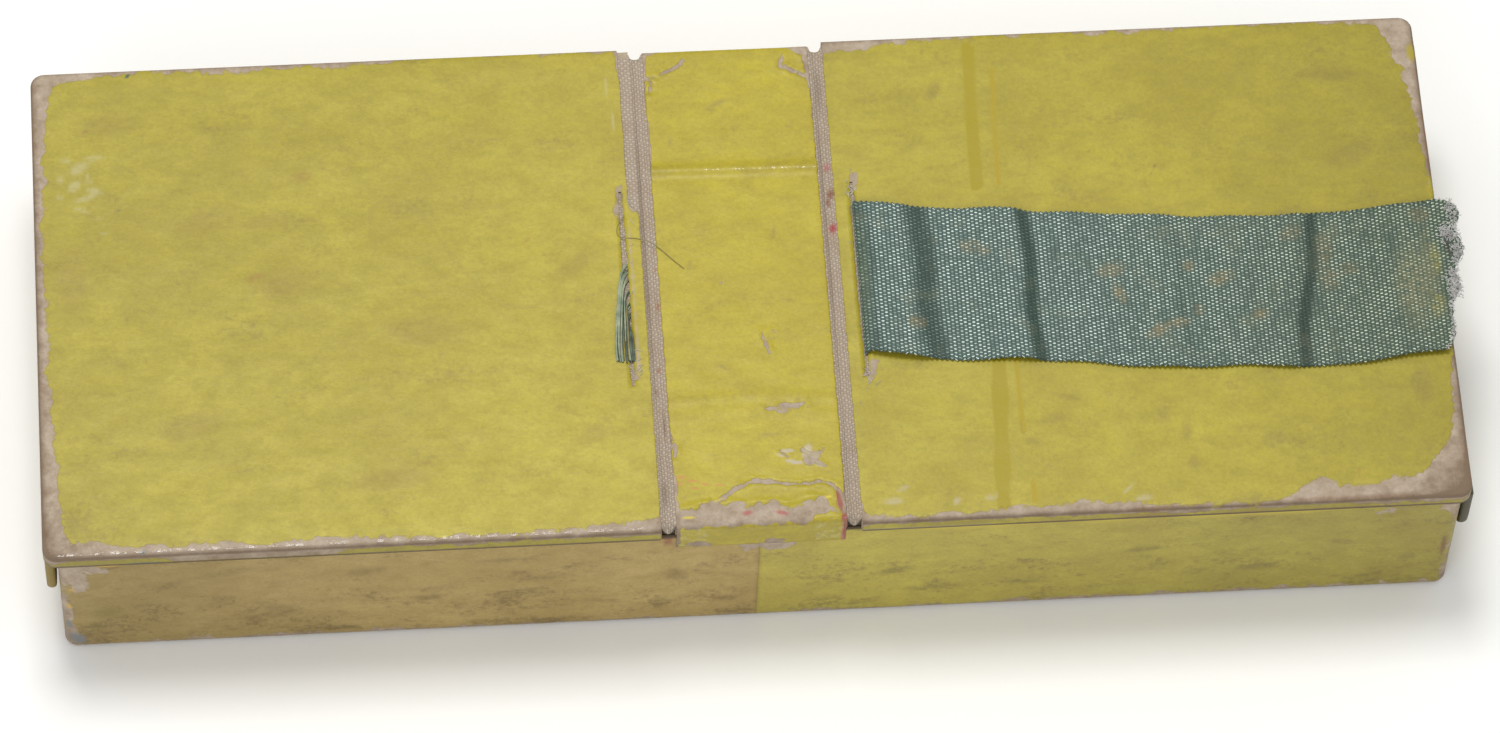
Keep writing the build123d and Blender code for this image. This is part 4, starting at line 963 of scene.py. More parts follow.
def tray_cover(name, material):
    """Surface paper over one half of the tray's walls, from inside the rim, over it, and under the base."""
    side = SIDES[name]
    end, half = abs(TRAY_ENDS[name]), -TRAY_FRONT
    corner = np.linspace(0, pi / 2, 9)
    along = np.linspace(0, end - TRAY_CORNER, int((end - TRAY_CORNER) / TRAY_STEP) + 1)
    front = [(x, -half) for x in along]
    bend = [(end - TRAY_CORNER * (1 - sin(a)), -half + TRAY_CORNER * (1 - cos(a))) for a in corner[1:]]
    across = np.linspace(TRAY_CORNER - half, half - TRAY_CORNER, int(2 * half / TRAY_STEP) + 1)[1:-1]
    path = np.array(front + bend + [(end, y) for y in across])
    path = np.vstack([path, (path[: len(front) + len(bend)] * (1, -1))[::-1]])
    inner = WALL_THICK + 2 * PAPER
    levels = np.linspace(RIM - 0.35, 1.15, 33)
    profile = [(inner, level) for level in (TURN_IN_FOOT, 19.5, 22, 24.4)]
    profile += [(inner - 0.08, 25.0), (inner - 0.35, RIM)]
    profile += [(1.2, RIM), (0.35, RIM), (0.1, RIM - 0.1)] + [(0, level) for level in levels]
    low = span(f"{name}_tray_paper")[0][2]
    profile += [(0.07, low + 0.62), (0.28, low + 0.27), (0.62, low + 0.07), (1.05, low), (4, low), (8, low)]
    rows = []
    for inset, level in profile:
        rows.append(np.column_stack([ring(path, end, half, TRAY_CORNER, inset), np.full(len(path), level)]))
    points = np.vstack(rows)
    insets = np.repeat([p[0] for p in profile], len(path))
    x, y, z = points.T
    # slow waves where the glue has dried unevenly, never inwards
    place = (points * (side, 1, 1)).T
    on_wall = (insets < 0.05) & (z < RIM - 1)
    waves = 0.035 * (1 + smooth_noise(14, 41, *place)) + 0.02 * (1 + smooth_noise(5, 43, *place))
    outward = np.where(on_wall, waves, 0)
    core = ring(np.column_stack([x, y]), end, half, TRAY_CORNER, TRAY_CORNER)
    away = np.column_stack([x, y]) - core
    points[:, :2] += away / TRAY_CORNER * np.where(insets < 0.05, outward, 0)[:, None]
    on_front, on_back = y < 1 - half, y > half - 1
    along_wall = side * x
    marks = WALL_STAINS[name]
    worn = np.where(on_front | on_back, patches(along_wall, z, WALL_BARE[name]), -3)
    worn = np.maximum(worn, 0.5 - z / 1.4 + 0.5 * smooth_noise(8, 45, *place))
    corners = np.hypot(x - end, np.abs(y) - half)
    worn = np.maximum(worn, CORNER_WEAR[name] - corners / 1.3 + 0.6 * smooth_noise(7, 47, *place))
    worn = np.where(insets > 2, -3, worn)
    # an end wall repeats the front's marks, drawn together to its own width
    end_marks = [
        (colour, strength, [((x0 + side * 50) * 0.38, z0, *rest) for x0, z0, *rest in shapes])
        for colour, strength, shapes in marks
    ]
    stain_and_shade = stain_and_shade_layer(along_wall, z, marks)
    stain_and_shade = np.where((on_front | on_back)[:, None], stain_and_shade, stain_and_shade_layer(y, z, end_marks))
    stain_and_shade = np.where((insets > 2)[:, None], 0, stain_and_shade)
    stain_and_shade[(insets < 0.4) & (z > RIM - 0.4)] = linear("#4f3f26", 0.85)  # painted shadow: a dark band along the top of the wall, just under the lid's edge
    grime_and_shade = 0.3 * np.clip((20 - z) / 20, 0, 1) + 0.25 * np.exp(-z / 1.0) + 0.4 * np.exp(-corners / 1.5)
    aged = follow(WALL_DARKENING[name], along_wall)
    # painted shade: darker towards the rim, just under the lid's edge
    grime_and_shade += 0.45 * np.exp(-(RIM - z) / 0.8) * (insets < 0.05)
    wide = len(path)
    centre_x = (x[:wide][:-1] + x[:wide][1:]) / 2
    skip = np.zeros((len(profile) - 1, wide - 1), bool)
    skip[:7] = (centre_x < LID_INNER + 1)[None, :]  # the bridge is glued down there
    faces = grid_faces(len(profile), wide, skip=skip)
    used = np.zeros(len(points), bool)
    used[np.array(faces).ravel()] = True
    number = np.cumsum(used) - 1
    faces = [tuple(number[i] for i in face) for face in faces]
    carried = {"worn": worn[used], "grime_and_shade": grime_and_shade[used], "stain_and_shade": stain_and_shade[used], "aged": aged[used]}
    made = joined(f"{name}_tray_cover", side, points[used], faces, material, attributes=carried)
    thicken(made, COVER_THICK)
    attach(made, "tray")
    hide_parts(f"{name}_tray_paper")


FLAP_CORNER = 5.2
FLAP_STEP = 0.9
FOLD_THICK = 0.45
FLAP_PAINTED_SHADE = {"left": (0.55, ("#857235", 0.6)), "right": (1.0, ("#4f4a38", 0.9))}  # painted shade for a flap that hangs in the shade beside the tray's end wall: how much darker it is made, and a dark colour with its strength


def flap_cover(name):
    """A lid's end flap: card covered in surface paper on both faces, with its lower corners rounded."""
    side = SIDES[name]
    low, high = span(f"{name}_flap_paper")
    middle, thick = (low[0] + high[0]) / 2, (high[0] - low[0])
    half, foot, head = high[1], low[2], hinge_line(f"{name}_flap_hinge")[2] - 0.1
    tall = head - foot
    ys = lines_across(-half, half, FLAP_STEP, FLAP_LINES, FLAP_LINES)
    zs = lines_across(0, tall, FLAP_STEP, FLAP_LINES, FLAP_LINES)
    z, y = spread(zs, ys)
    s = np.clip((np.abs(y) - half + FLAP_CORNER) / FLAP_CORNER, 0, 1)
    t = np.clip((FLAP_CORNER - z) / FLAP_CORNER, 0, 1)
    both = (s > 0) & (t > 0)
    y = np.where(both, np.sign(y) * (half - FLAP_CORNER + FLAP_CORNER * s * np.sqrt(1 - t**2 / 2)), y)
    z = np.where(both, FLAP_CORNER - FLAP_CORNER * t * np.sqrt(1 - s**2 / 2), z)
    qy, qz = np.abs(y) - (half - FLAP_CORNER), FLAP_CORNER - z
    inside = np.minimum(inside_corner(qy, qz, FLAP_CORNER), tall - z)
    share = np.clip(inside / 0.5, 0, 1)
    depth = thick / 2 * np.sqrt(np.clip(1 - (1 - share) ** 2, 0, 1))
    bow = 0.12 * (1 - (y / half) ** 2) * (1 - z / tall) + 0.05 * smooth_noise(15, 51, y, z)
    count = len(y)
    outer = np.column_stack([abs(middle) + depth + bow, y, z + foot])
    inner = np.column_stack([abs(middle) - depth + bow, y, z + foot])
    faces = grid_faces(len(zs), len(ys), flip=True)
    faces += [tuple(i + count for i in face[::-1]) for face in faces]
    worn = -0.8 - inside + 0.4 * smooth_noise(9, 53, y, z)
    grime_and_shade = 0.5 + 0.3 * np.exp(-inside)
    # painted shade: both faces of the flap are made darker, as it hangs in the shade beside the tray's end wall
    age, tone = FLAP_PAINTED_SHADE[name]
    carried = {
        "worn": np.tile(worn, 2), "grime_and_shade": np.tile(grime_and_shade, 2), "stain_and_shade": np.tile(linear(*tone), (2 * count, 1)),
        "aged": np.full(2 * count, age),
    }
    points = np.vstack([outer, inner])
    made = joined(f"{name}_flap_cover", side, points, faces, BROWNED_PAPER, attributes=carried)
    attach(made, f"{name}_flap")
    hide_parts(f"{name}_flap_paper", f"{name}_flap_board")


def flap_fold(name):
    """The fold of paper that a flap hangs from, glued under the lid's end and into the top of the flap."""
    side = SIDES[name]
    low, high = span(f"{name}_flap_paper")
    middle, half = abs(low[0] + high[0]) / 2, high[1] - 0.3
    axis = hinge_line(f"{name}_flap_hinge")[2]
    levels = np.array([RIM - 0.05, RIM - 0.2, axis + 0.25, axis + 0.1, axis, axis - 0.12, axis - 0.3])
    ys = np.linspace(-half, half, 90)
    z, y = spread(levels, ys)
    x = middle + 0.05 * smooth_noise(8, 57, y, z) * np.clip((axis + 0.5 - z), 0, 1)
    faces = grid_faces(len(levels), len(ys))
    worn = 0.3 + 0.9 * smooth_noise(6, 59, y, z)
    carried = {"worn": worn, "grime_and_shade": np.full(len(y), 0.7), "stain_and_shade": np.zeros((len(y), 4))}
    made = joined(f"{name}_flap_fold", side, np.column_stack([x, y, z]), faces, BROWNED_PAPER, attributes=carried)
    thicken(made, FOLD_THICK, offset=0.0)
    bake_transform(made)


# ---------------------------------------------------------------- hinge cloths

GROOVE_SAG = 0.55
CLOTH_THICK = 0.25
CLOTH_PAST = 0.6  # how much longer the cloth is than its board at each end
CLOTH_STAINS_AND_SHADE = {
    "left": [
        ("#7b4a38", 0.5, [(-12.7, -23.0, 0.3, 3.0, 0), (-13.6, -17.5, 0.3, 0.9, 30)]),
        ("#a5542f", 0.85, [
            (-12.4, 6.0, 0.25, 0.3, 0), (-12.4, 2.6, 0.3, 0.25, 0), (-12.4, -3.4, 0.25, 0.8, 0),
            (-13.0, -13.8, 0.3, 0.4, 0),
        ]),
        # the long narrow line along the groove's left side is painted shade from the lid's edge; the short patch is
        # dirt
        ("#6d5a48", 0.4, [(-13.9, 6.0, 0.5, 28.0, 0), (-13.4, -34.0, 0.8, 3.0, 0)]),
    ],
    "right": [
        ("#b4525e", 0.5, [(13.5, 18.9, 1.0, 0.8, 0)]),
        ("#a93c45", 0.85, [(13.7, 8.5, 0.8, 1.1, 0)]),
        ("#874f37", 0.85, [(13.8, 14.3, 0.9, 1.0, 0), (13.3, 12.9, 0.5, 0.8, 30)]),
        # the long narrow line along the groove's left side is painted shade from the bridge's edge; the short patch is
        # dirt
        ("#6d5a48", 0.35, [(12.6, 8.0, 0.4, 28.0, 0), (13.2, 32.0, 0.8, 5.0, 0)]),
    ],
}


def hinge_cloth(name):
    """One strip of calico, glued under the paper of the bridge and of the lid, that sags in the groove between."""
    side = SIDES[name]
    half = CLOTH_HIGH[1] + CLOTH_PAST
    middle = abs(hinge_line(f"{name}_lid_hinge")[0])
    xs = np.concatenate([
        np.linspace(CLOTH_IN_BRIDGE, BRIDGE_EDGE - 0.3, 12), np.linspace(BRIDGE_EDGE, LID_INNER, 11),
        np.linspace(LID_INNER + 0.3, CLOTH_HIGH[0], 12),
    ])
    ys = np.linspace(-half, half, 130)
    x, y = spread(xs, ys)
    across = np.clip((x - middle) / (LID_INNER - middle), -1, 1)
    sag = GROOVE_SAG * (1 - across**2) ** 1.5 * (1 + 0.25 * smooth_noise(7, 61, x, y))
    # tucked down at both ends
    sag += 1.5 * (1 - across**2) ** 0.6 * np.clip((np.abs(y) - half + CLOTH_PAST) / CLOTH_PAST, 0, 1) ** 2
    z = BOARD_TOP - CLOTH_THICK / 2 - 0.01 - sag
    rows = xs.size
    length = np.concatenate([[0], np.cumsum(np.hypot(np.diff(xs), np.diff(z.reshape(rows, -1).mean(axis=1))))])
    cut = np.column_stack([np.repeat(length, len(ys)), y])
    points, carried = np.column_stack([x, y, z]), {"stain_and_shade": stain_and_shade_layer(side * x, y, CLOTH_STAINS_AND_SHADE[name])}
    made = joined(
        f"{name}_hinge_cloth", side, points, grid_faces(rows, len(ys)), CALICO, attributes=carried, cut=cut
    )
    thicken(made, CLOTH_THICK, offset=0.0)
    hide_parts(f"{name}_bridge_hinge_cloth", f"{name}_lid_hinge_cloth")
    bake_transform(made)


# ---------------------------------------------------------------- ribbon and threads

RIBBON_WIDTH = TAIL_HIGH[1] - TAIL_LOW[1]
RIBBON_THICK = 0.25
THREAD_RADIUS, LOOSE_RADIUS, FRAY_RADIUS, FIBRE_RADIUS = 0.12, 0.055, 0.06, 0.035
# the free length: distance from the slit and height of the underside over the lid
RIBBON_WAVES = [
    (0.4, 0.25), (2.0, 1.35), (3.6, 1.95), (6.8, 1.75), (9.6, 0.3), (11, 0.15), (16, 0.4), (20.5, 1.15), (23.4, 1.35),
    (24.9, 0.3), (26, 0.15), (30, 0.35), (36, 0.3), (44, 0.75), (47, 0.35), (58, 0.6), (62.2, 1.15), (64.0, 0.25),
    (67, 0.3), (74, 0.7), (83.5, 1.3), (88, 1.0),
]
# painted shade on the steps of the old folds: X at the back and at the front edge, half width, depth of tone
RIBBON_STEPS = [
    (17.4, 17.6, 1.5, 0.6), (25.9, 26.9, 1.8, 0.85), (41.2, 41.6, 1.15, 1.0), (83.2, 79.4, 1.0, 1.0),
    (62.5, 63.4, 0.5, 0.3),
]
RIBBON_MIDDLE = [(16.8, -0.3), (25, -1.7), (41, -2.8), (60, -4.9), (82, -5.9), (92, -5.2), (104.5, -3.9)]
RIBBON_END = [
    (-12.7, 100.2), (-11.7, 101.0), (-10.6, 101.6), (-8.0, 101.7), (-5.0, 101.9), (-2.6, 103.4), (0.3, 102.8),
    (1.0, 103.1), (3.5, 104.5), (5.0, 104.2), (7.5, 103.7), (9.3, 104.4), (10.7, 104.1), (12.0, 103.2), (12.7, 101.2),
]
# how much darker and browner the ribbon is made, by X, towards its torn end
RIBBON_DARKENING = [(40, 0), (60, 0.35), (84, 0.8), (103, 1.0)]
RIBBON_LEAN = [(17, 0), (26, 0.035), (41, 0.02), (62, 0.0), (81, -0.15), (100, -0.1)]  # of the folds, off square
RIBBON_STAINS_AND_SHADE = [
    ("#a58748", 0.34, [
        (24.4, -8.6, 1.8, 1.4, 0), (33.0, 4.0, 2.0, 1.4, 0), (35.0, 3.0, 1.4, 1.2, 0), (53.2, -1.0, 2.9, 1.6, 10),
        (58.9, -11.6, 2.4, 1.2, 35), (62.0, -10.4, 2.4, 1.1, 10), (59.6, -11.4, 1.7, 0.6, 35),
        (61.2, -10.5, 1.5, 0.5, 0), (64.4, -1.0, 1.2, 1.2, 0), (65.2, -8.4, 1.1, 1.1, 0), (68.8, -3.3, 2.6, 1.5, 20),
        (74.0, -9.6, 1.6, 1.4, 0), (54.0, -5.0, 1.2, 2.4, 20),
    ]),
    ("#85703f", 0.34, [
        (79.6, 3.6, 2.4, 1.6, 30), (84.4, 0.5, 1.6, 3.0, 0), (87.6, -2.6, 2.0, 1.4, 0), (98.6, 5.6, 2.0, 2.0, 0),
        (84.5, -4.0, 2.2, 2.6, 0),
    ]),
    ("#a09438", 0.42, [(99.9, -2.2, 1.4, 4.0, 0), (99.6, -9.4, 1.6, 3.0, 0)]),
    ("#8d8556", 0.4, [(99.0, -4.0, 1.8, 9.5, 0), (96.6, -6.0, 3.6, 9.0, 0)]),
    # painted shade, with a painted yellow reflection from the lid, on the steep rise out of the slit
    ("#6f7a52", 0.3, [(17.6, 0.0, 1.1, 14.0, 0)]),
    # painted shade: a near-black patch in a hole at the torn end
    ("#2f2d24", 1.0, [(102.2, -0.2, 0.7, 2.1, 8)]),
]


def smoothed(values, spacing, size):
    """Values along a line, blurred over a size in the same unit as the spacing."""
    reach = max(1, int(3 * size / spacing))
    weights = np.exp(-0.5 * ((np.arange(-reach, reach + 1) * spacing / size) ** 2))
    padded = np.concatenate([np.full(reach, values[0]), values, np.full(reach, values[-1])])
    return np.convolve(padded, weights / weights.sum(), "valid")


def ribbon_place(x, t):
    """Height of the ribbon's underside at X and at t across it, over the lid."""
    spacing = 0.1
    ruler = np.arange(0, RIBBON_WAVES[-1][0] + spacing, spacing)
    level = 0.6 * smoothed(follow(RIBBON_WAVES, ruler), spacing, 0.4)
    base = np.interp(x - SLIT_X + follow(RIBBON_LEAN, x) * t, ruler, level)
    edge = np.abs(t / RIBBON_WIDTH * 2)
    lift = 0.02 * (1 + np.sin(x * 0.31 + np.sign(t) * 1.1)) * edge**5 + 0.025 * (1 + np.sin(x * 0.9 + t * 0.2))
    fade = np.clip((x - SLIT_X) / 4, 0, 1)
    return base + lift * fade


def glued_tail():
    """The held end of a ribbon, as X and Z: glued under the board, round the slit's lower edge and up through it."""
    low = TAIL_LOW[2] + RIBBON_THICK / 2 + 0.02
    tail = [(SLIT_X + d, low) for d in np.linspace(8, 0.8, 14)]
    bend = [(SLIT_X + 0.8 * (1 - sin(a)), low + 0.8 * (1 - cos(a))) for a in np.linspace(0.25, pi / 2, 5)]
    rise = [(SLIT_X, z) for z in np.linspace(low + 1.1, TOP - 0.15, 5)]
    return tail + bend + rise


def torn_tail():
    """What holds the threads on the left lid: the glued tail of its ribbon, torn off unevenly in the slit."""
    profile = np.array(glued_tail())
    ts = np.linspace(-RIBBON_WIDTH / 2, RIBBON_WIDTH / 2, 170)
    level, t = spread(profile[:, 1], ts)
    x = np.repeat(profile[:, 0], len(ts))
    near_tear = np.clip((level - TOP + 1.4) / 1.25, 0, 1)
    z = level - near_tear * (0.28 + 0.22 * smooth_noise(3.0, 83, x, t) + 0.1 * smooth_noise(0.7, 85, x, t))
    x = x + 0.04 * smooth_noise(2.2, 81, x, t) * near_tear
    travelled = np.concatenate([[0], np.cumsum(np.hypot(*np.diff(profile, axis=0).T))])
    cut = np.column_stack([np.repeat(travelled, len(ts)), t])
    whole = np.ones(len(x))
    # painted shade: the tail down in the slit gets the folds' full dark teal, full darkening and a dark olive-grey
    # colour
    carried = {"fold": whole, "aged": whole, "stain_and_shade": np.tile(linear("#4b4736", 0.7), (len(x), 1))}
    points, faces = np.column_stack([x, SLIT_Y + t, z]), grid_faces(len(profile), len(ts))
    made = joined("left_silk_tail", -1, points, faces, SILK, attributes=carried, cut=cut)
    thicken(made, RIBBON_THICK, offset=0.0, even=False)
    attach(made, "left_lid")
    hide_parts("left_ribbon_tail")


def silk_band():
    """The right lid's ribbon: glued under the board, up through the slit and away over the lid in old folds."""
    half = RIBBON_WIDTH / 2
    ts = np.linspace(-half, half, 52)
    lead = [(SLIT_X + 0.02, TOP + 0.12), (SLIT_X + 0.12, TOP + 0.38), (SLIT_X + 0.3, TOP + 0.62)]
    fixed = np.array(glued_tail() + lead)
    free = np.arange(0.62, 86.6, 0.185)
    columns = []
    for x, z in fixed:
        columns.append(np.column_stack([np.full_like(ts, x), SLIT_Y + ts, np.full_like(ts, z)]))
    ends = follow(RIBBON_END, ts) + 0.12 * np.sin(ts * 5.3) + 0.1 * np.sin(ts * 11.7 + 1)
    last = free[-1]
    for d in free:
        share = d / last
        x = SLIT_X + d + share**4 * (ends - SLIT_X - last)
        scallop = 0.15 * np.sin(x * 2 * pi / 0.74) * np.abs(ts / half) ** 16
        pull = 0.12 * np.sin(x * 0.23 + 1) * (ts / half)
        y = follow(RIBBON_MIDDLE, x) + ts * (1 - 0.012) + scallop * np.sign(ts) + pull
        y = y + 0.12 * np.sin(x * 0.55) * np.clip((x - SLIT_X) / 10, 0, 1)
        z = TOP + RIBBON_THICK / 2 + 0.03 + ribbon_place(x, ts)
        blend = np.clip(d / 2.2, 0, 1) ** 1.5
        z = z * blend + (TOP + 0.62 + d * 0.55) * (1 - blend)
        columns.append(np.column_stack([x, y, z]))
    points = np.vstack(columns)
    rows = len(columns)
    # each thread's own length, so that the weave keeps its pitch where the ribbon is pulled askew
    steps = np.linalg.norm(np.diff(np.stack(columns)[:, :, [0, 2]], axis=0), axis=2)
    travelled = np.vstack([np.zeros(len(ts)), np.cumsum(steps, axis=0)])
    cut = np.column_stack([travelled.ravel(), np.tile(ts, rows)])
    x_grid = points[:, 0].reshape(rows, -1)
    fold = np.zeros_like(x_grid)
    across = (points[:, 1].reshape(rows, -1) - follow(RIBBON_MIDDLE, x_grid)) / RIBBON_WIDTH
    for back_x, front_x, wide, tone in RIBBON_STEPS:
        line = (back_x + front_x) / 2 + across * (back_x - front_x) + 0.3 * np.sin(across * 9)
        fold = np.maximum(fold, tone * np.exp(-np.abs((x_grid - line) / wide) ** 3.5))
    # painted shade: the glued tail and its rise through the slit get half the folds' dark teal
    fold[: len(fixed)] = 0.5
    carried = {"fold": fold.ravel(), "aged": follow(RIBBON_DARKENING, points[:, 0])}
    carried["stain_and_shade"] = stain_and_shade_layer(points[:, 0], points[:, 1], RIBBON_STAINS_AND_SHADE)
    made = joined("right_silk_ribbon", 1, points, grid_faces(rows, len(ts)), SILK, attributes=carried, cut=cut)
    thicken(made, RIBBON_THICK, offset=0.0, even=False)
    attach(made, "right_lid")
    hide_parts("right_ribbon")


def tubes(name, lines, radius, material, body, sides=5):
    """Thin silk threads as one mesh. Each line is an array of points in mm."""
    points, faces, count = [], [], 0
    turn = np.linspace(0, 2 * pi, sides, endpoint=False)
    for line in lines:
        ahead = np.gradient(line, axis=0)
        ahead /= np.maximum(np.linalg.norm(ahead, axis=1, keepdims=True), 1e-9)
        aside = np.cross(ahead, (0.05, 0.02, 1))
        aside /= np.maximum(np.linalg.norm(aside, axis=1, keepdims=True), 1e-9)
        above = np.cross(aside, ahead)
        for p, a, b in zip(line, aside, above):
            points.extend(p + radius * (cos(u) * a + sin(u) * b) for u in turn)
        for k in range(len(line) - 1):
            for u in range(sides):
                v = (u + 1) % sides
                start = count + k * sides
                faces.append((start + u, start + v, start + sides + v, start + sides + u))
        faces.append(tuple(count + u for u in range(sides))[::-1])
        last = count + (len(line) - 1) * sides
        faces.append(tuple(last + u for u in range(sides)))
        count += len(line) * sides
    made = make_mesh(name, points, faces, material)
    if body:
        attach(made, body)
    return made


def curve_through(knots, count):
    """A smooth line of points near some knots: a uniform B-spline that starts and ends at its end knots."""
    knots = np.array([knots[0], knots[0], *knots, knots[-1], knots[-1]], float)
    out = []
    for share in np.linspace(0, len(knots) - 3 - 1e-6, count):
        i, u = int(share), share - int(share)
        basis = np.array([(1 - u) ** 3, 3 * u**3 - 6 * u**2 + 4, -3 * u**3 + 3 * u**2 + 3 * u + 1, u**3]) / 6
        out.append(basis @ knots[i : i + 4])
    return np.array(out)


def thread_tuft():
    """What is left of the left lid's ribbon: a brush of silk threads, cut off where it lies beside the slit."""
    low = TOP + 0.17
    pale, dark, olive = [], [], []
    # the threads cling together in strands: where along the slit, and how many
    bundles = np.repeat([0.06, 0.2, 0.37, 0.55, 0.74, 0.92], [3, 4, 4, 5, 6, 5])
    for share in np.clip(bundles + random.normal(0, 0.022, len(bundles)), 0.01, 0.99):
        root = (-SLIT_X + 0.35, 4.0 - 9.5 * share**1.15, low - 0.25)
        tip_x = -18.9 + 2.6 * share + random.normal(0, 0.08)
        bow = 0.75 * (1 - share) + random.normal(0, 0.08)
        tip = (tip_x, -12.5 + random.normal(0, 0.12), low + random.uniform(0, 0.2))
        near = (-SLIT_X - 0.25 - 0.5 * (1 - share), root[1] - 1.0, low + 0.1)
        mid = ((root[0] + tip_x) / 2 - bow, (root[1] + tip[1]) / 2 + 0.5, low + 0.1 + random.uniform(0, 0.35))
        far = (tip_x - 0.25 * bow, tip[1] + 2.6, low + random.uniform(0.05, 0.3))
        if share > 0.85 or random.uniform() < 0.25:
            group = dark
        else:
            group = olive if random.uniform() < 0.35 else pale
        group.append(curve_through([root, near, mid, far, tip], 16))
    tones = (("pale", pale, SILK_THREAD), ("dark", dark, DARK_THREAD), ("olive", olive, HAIR_THREAD))
    for tone, lines, material in tones:
        made = tubes(f"left_ribbon_threads_{tone}", lines, THREAD_RADIUS, material, "left_lid", sides=6)
        if tone == "pale":
            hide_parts("left_ribbon_threads")


def loose_thread():
    """One long olive thread that has crept out of the slit and over the groove to the bridge."""
    knots = [(-16.2, 12.4, TOP - 0.1), (-16.3, 11.9, TOP + 0.1), (-17.1, 10.8, TOP + 0.3), (-17.9, 9.2, TOP + 0.2),
             (-17.1, 7.9, TOP + 0.12), (-15.9, 8.1, TOP + 0.2), (-14.3, 7.8, TOP + 0.14), (-13.2, 7.3, TOP + 0.3),
             (-11.6, 6.1, TOP + 0.16), (-10.1, 4.3, TOP + 0.16), (-8.3, 2.5, TOP + 0.12)]
    made = tubes("loose_thread", [curve_through(knots, 60)], LOOSE_RADIUS, HAIR_THREAD, None)
    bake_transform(made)


# pulp and ribbon fibres that stand up along a slit: X, Y, how many, and how far they spread
SLIT_FIBRES = {
    "left": [(-15.9, -13.5, 14, 0.16, 1.6), (-16.0, 6.0, 9, 0.12, 4.0), (-15.6, 13.5, 5, 0.2, 0.9)],
    "right": [(17.0, -17.0, 10, 0.35, 0.9), (16.5, 13.4, 6, 0.15, 1.2), (16.3, 0.0, 8, 0.08, 7.0)],
}


def torn_fibres(name):
    """Short curled fibres along a lid's slit."""
    lines = []
    for cx, cy, count, spread_x, spread_y in SLIT_FIBRES[name]:
        for _ in range(count):
            x, y = cx + random.normal(0, spread_x), cy + random.normal(0, spread_y)
            turn, reach = random.uniform(0, 2 * pi), random.uniform(0.3, 1.1)
            start = np.array([x, y, TOP + 0.08])
            step = np.array([cos(turn), sin(turn) * 1.3, 0]) * reach / 3
            curl = np.array([-sin(turn), cos(turn), 0]) * random.normal(0, 0.16)
            rise = random.uniform(0.0, 0.22)
            up = (0, 0, rise)
            knots = [start, start + step + curl + up, start + 2 * step + up, start + 3 * step - curl]
            lines.append(curve_through(knots, 7))
    tubes(f"{name}_slit_fibres", lines, FIBRE_RADIUS, FLUFF, f"{name}_lid", sides=3)


# matted lumps at the torn end: X, Y, half length along X, half width, how many threads
FLUFF_LUMPS = [
    (102.3, 2.4, 1.0, 0.9, 90), (102.4, -6.0, 0.7, 2.2, 150), (103.2, -1.2, 0.4, 1.7, 60), (103.2, 5.6, 0.4, 2.2, 50),
]


def frayed_end():
    """Short ends of thread and matted fluff where the ribbon was torn across."""
    lines = []
    half = RIBBON_WIDTH / 2

    def over_ribbon(x, y):
        t = y - float(follow(RIBBON_MIDDLE, x))
        return TOP + RIBBON_THICK + 0.06 + float(ribbon_place(np.array([x]), np.array([t]))[0])

    for _ in range(260):
        t = random.uniform(-half + 0.2, half - 0.2)
        x = float(follow(RIBBON_END, t)) - random.uniform(0.0, 0.7)
        y = float(follow(RIBBON_MIDDLE, x)) + t
        start = np.array([x, y, over_ribbon(x, y)])
        aim = random.normal(0, 0.7)
        step = np.array([cos(aim), sin(aim), random.normal(-0.1, 0.12)]) * random.uniform(0.15, 0.5) / 3
        wriggle = random.normal(0, 0.1, (2, 3)) * (1, 1, 0.5)
        knots = [start, start + step + wriggle[0], start + 2 * step + wriggle[1], start + 3 * step]
        lines.append(curve_through(knots, 7))
    for cx, cy, long_half, wide_half, count in FLUFF_LUMPS:
        for _ in range(count):
            x, y = cx + random.uniform(-1, 1) * long_half, cy + random.uniform(-1, 1) * wide_half
            knots = np.array([x, y, over_ribbon(min(x, 103.0), y) + random.uniform(0.0, 0.25)])
            knots = knots + np.cumsum(random.normal(0, 0.2, (5, 3)) * (1, 1, 0.3), axis=0)
            lines.append(curve_through(list(knots), 9))
    tubes("right_ribbon_fray", lines, FRAY_RADIUS, FLUFF, "right_lid", sides=3)


# ---------------------------------------------------------------- velvet beds

VELVET_THICK = 0.4
MEDAL_RECESS = 18.5  # radius inside the velvet
CHANNEL_HALF, CHANNEL_END, CHANNEL_DEEP = 16.5, 27.25, 1.5  # for the medal's ribbon


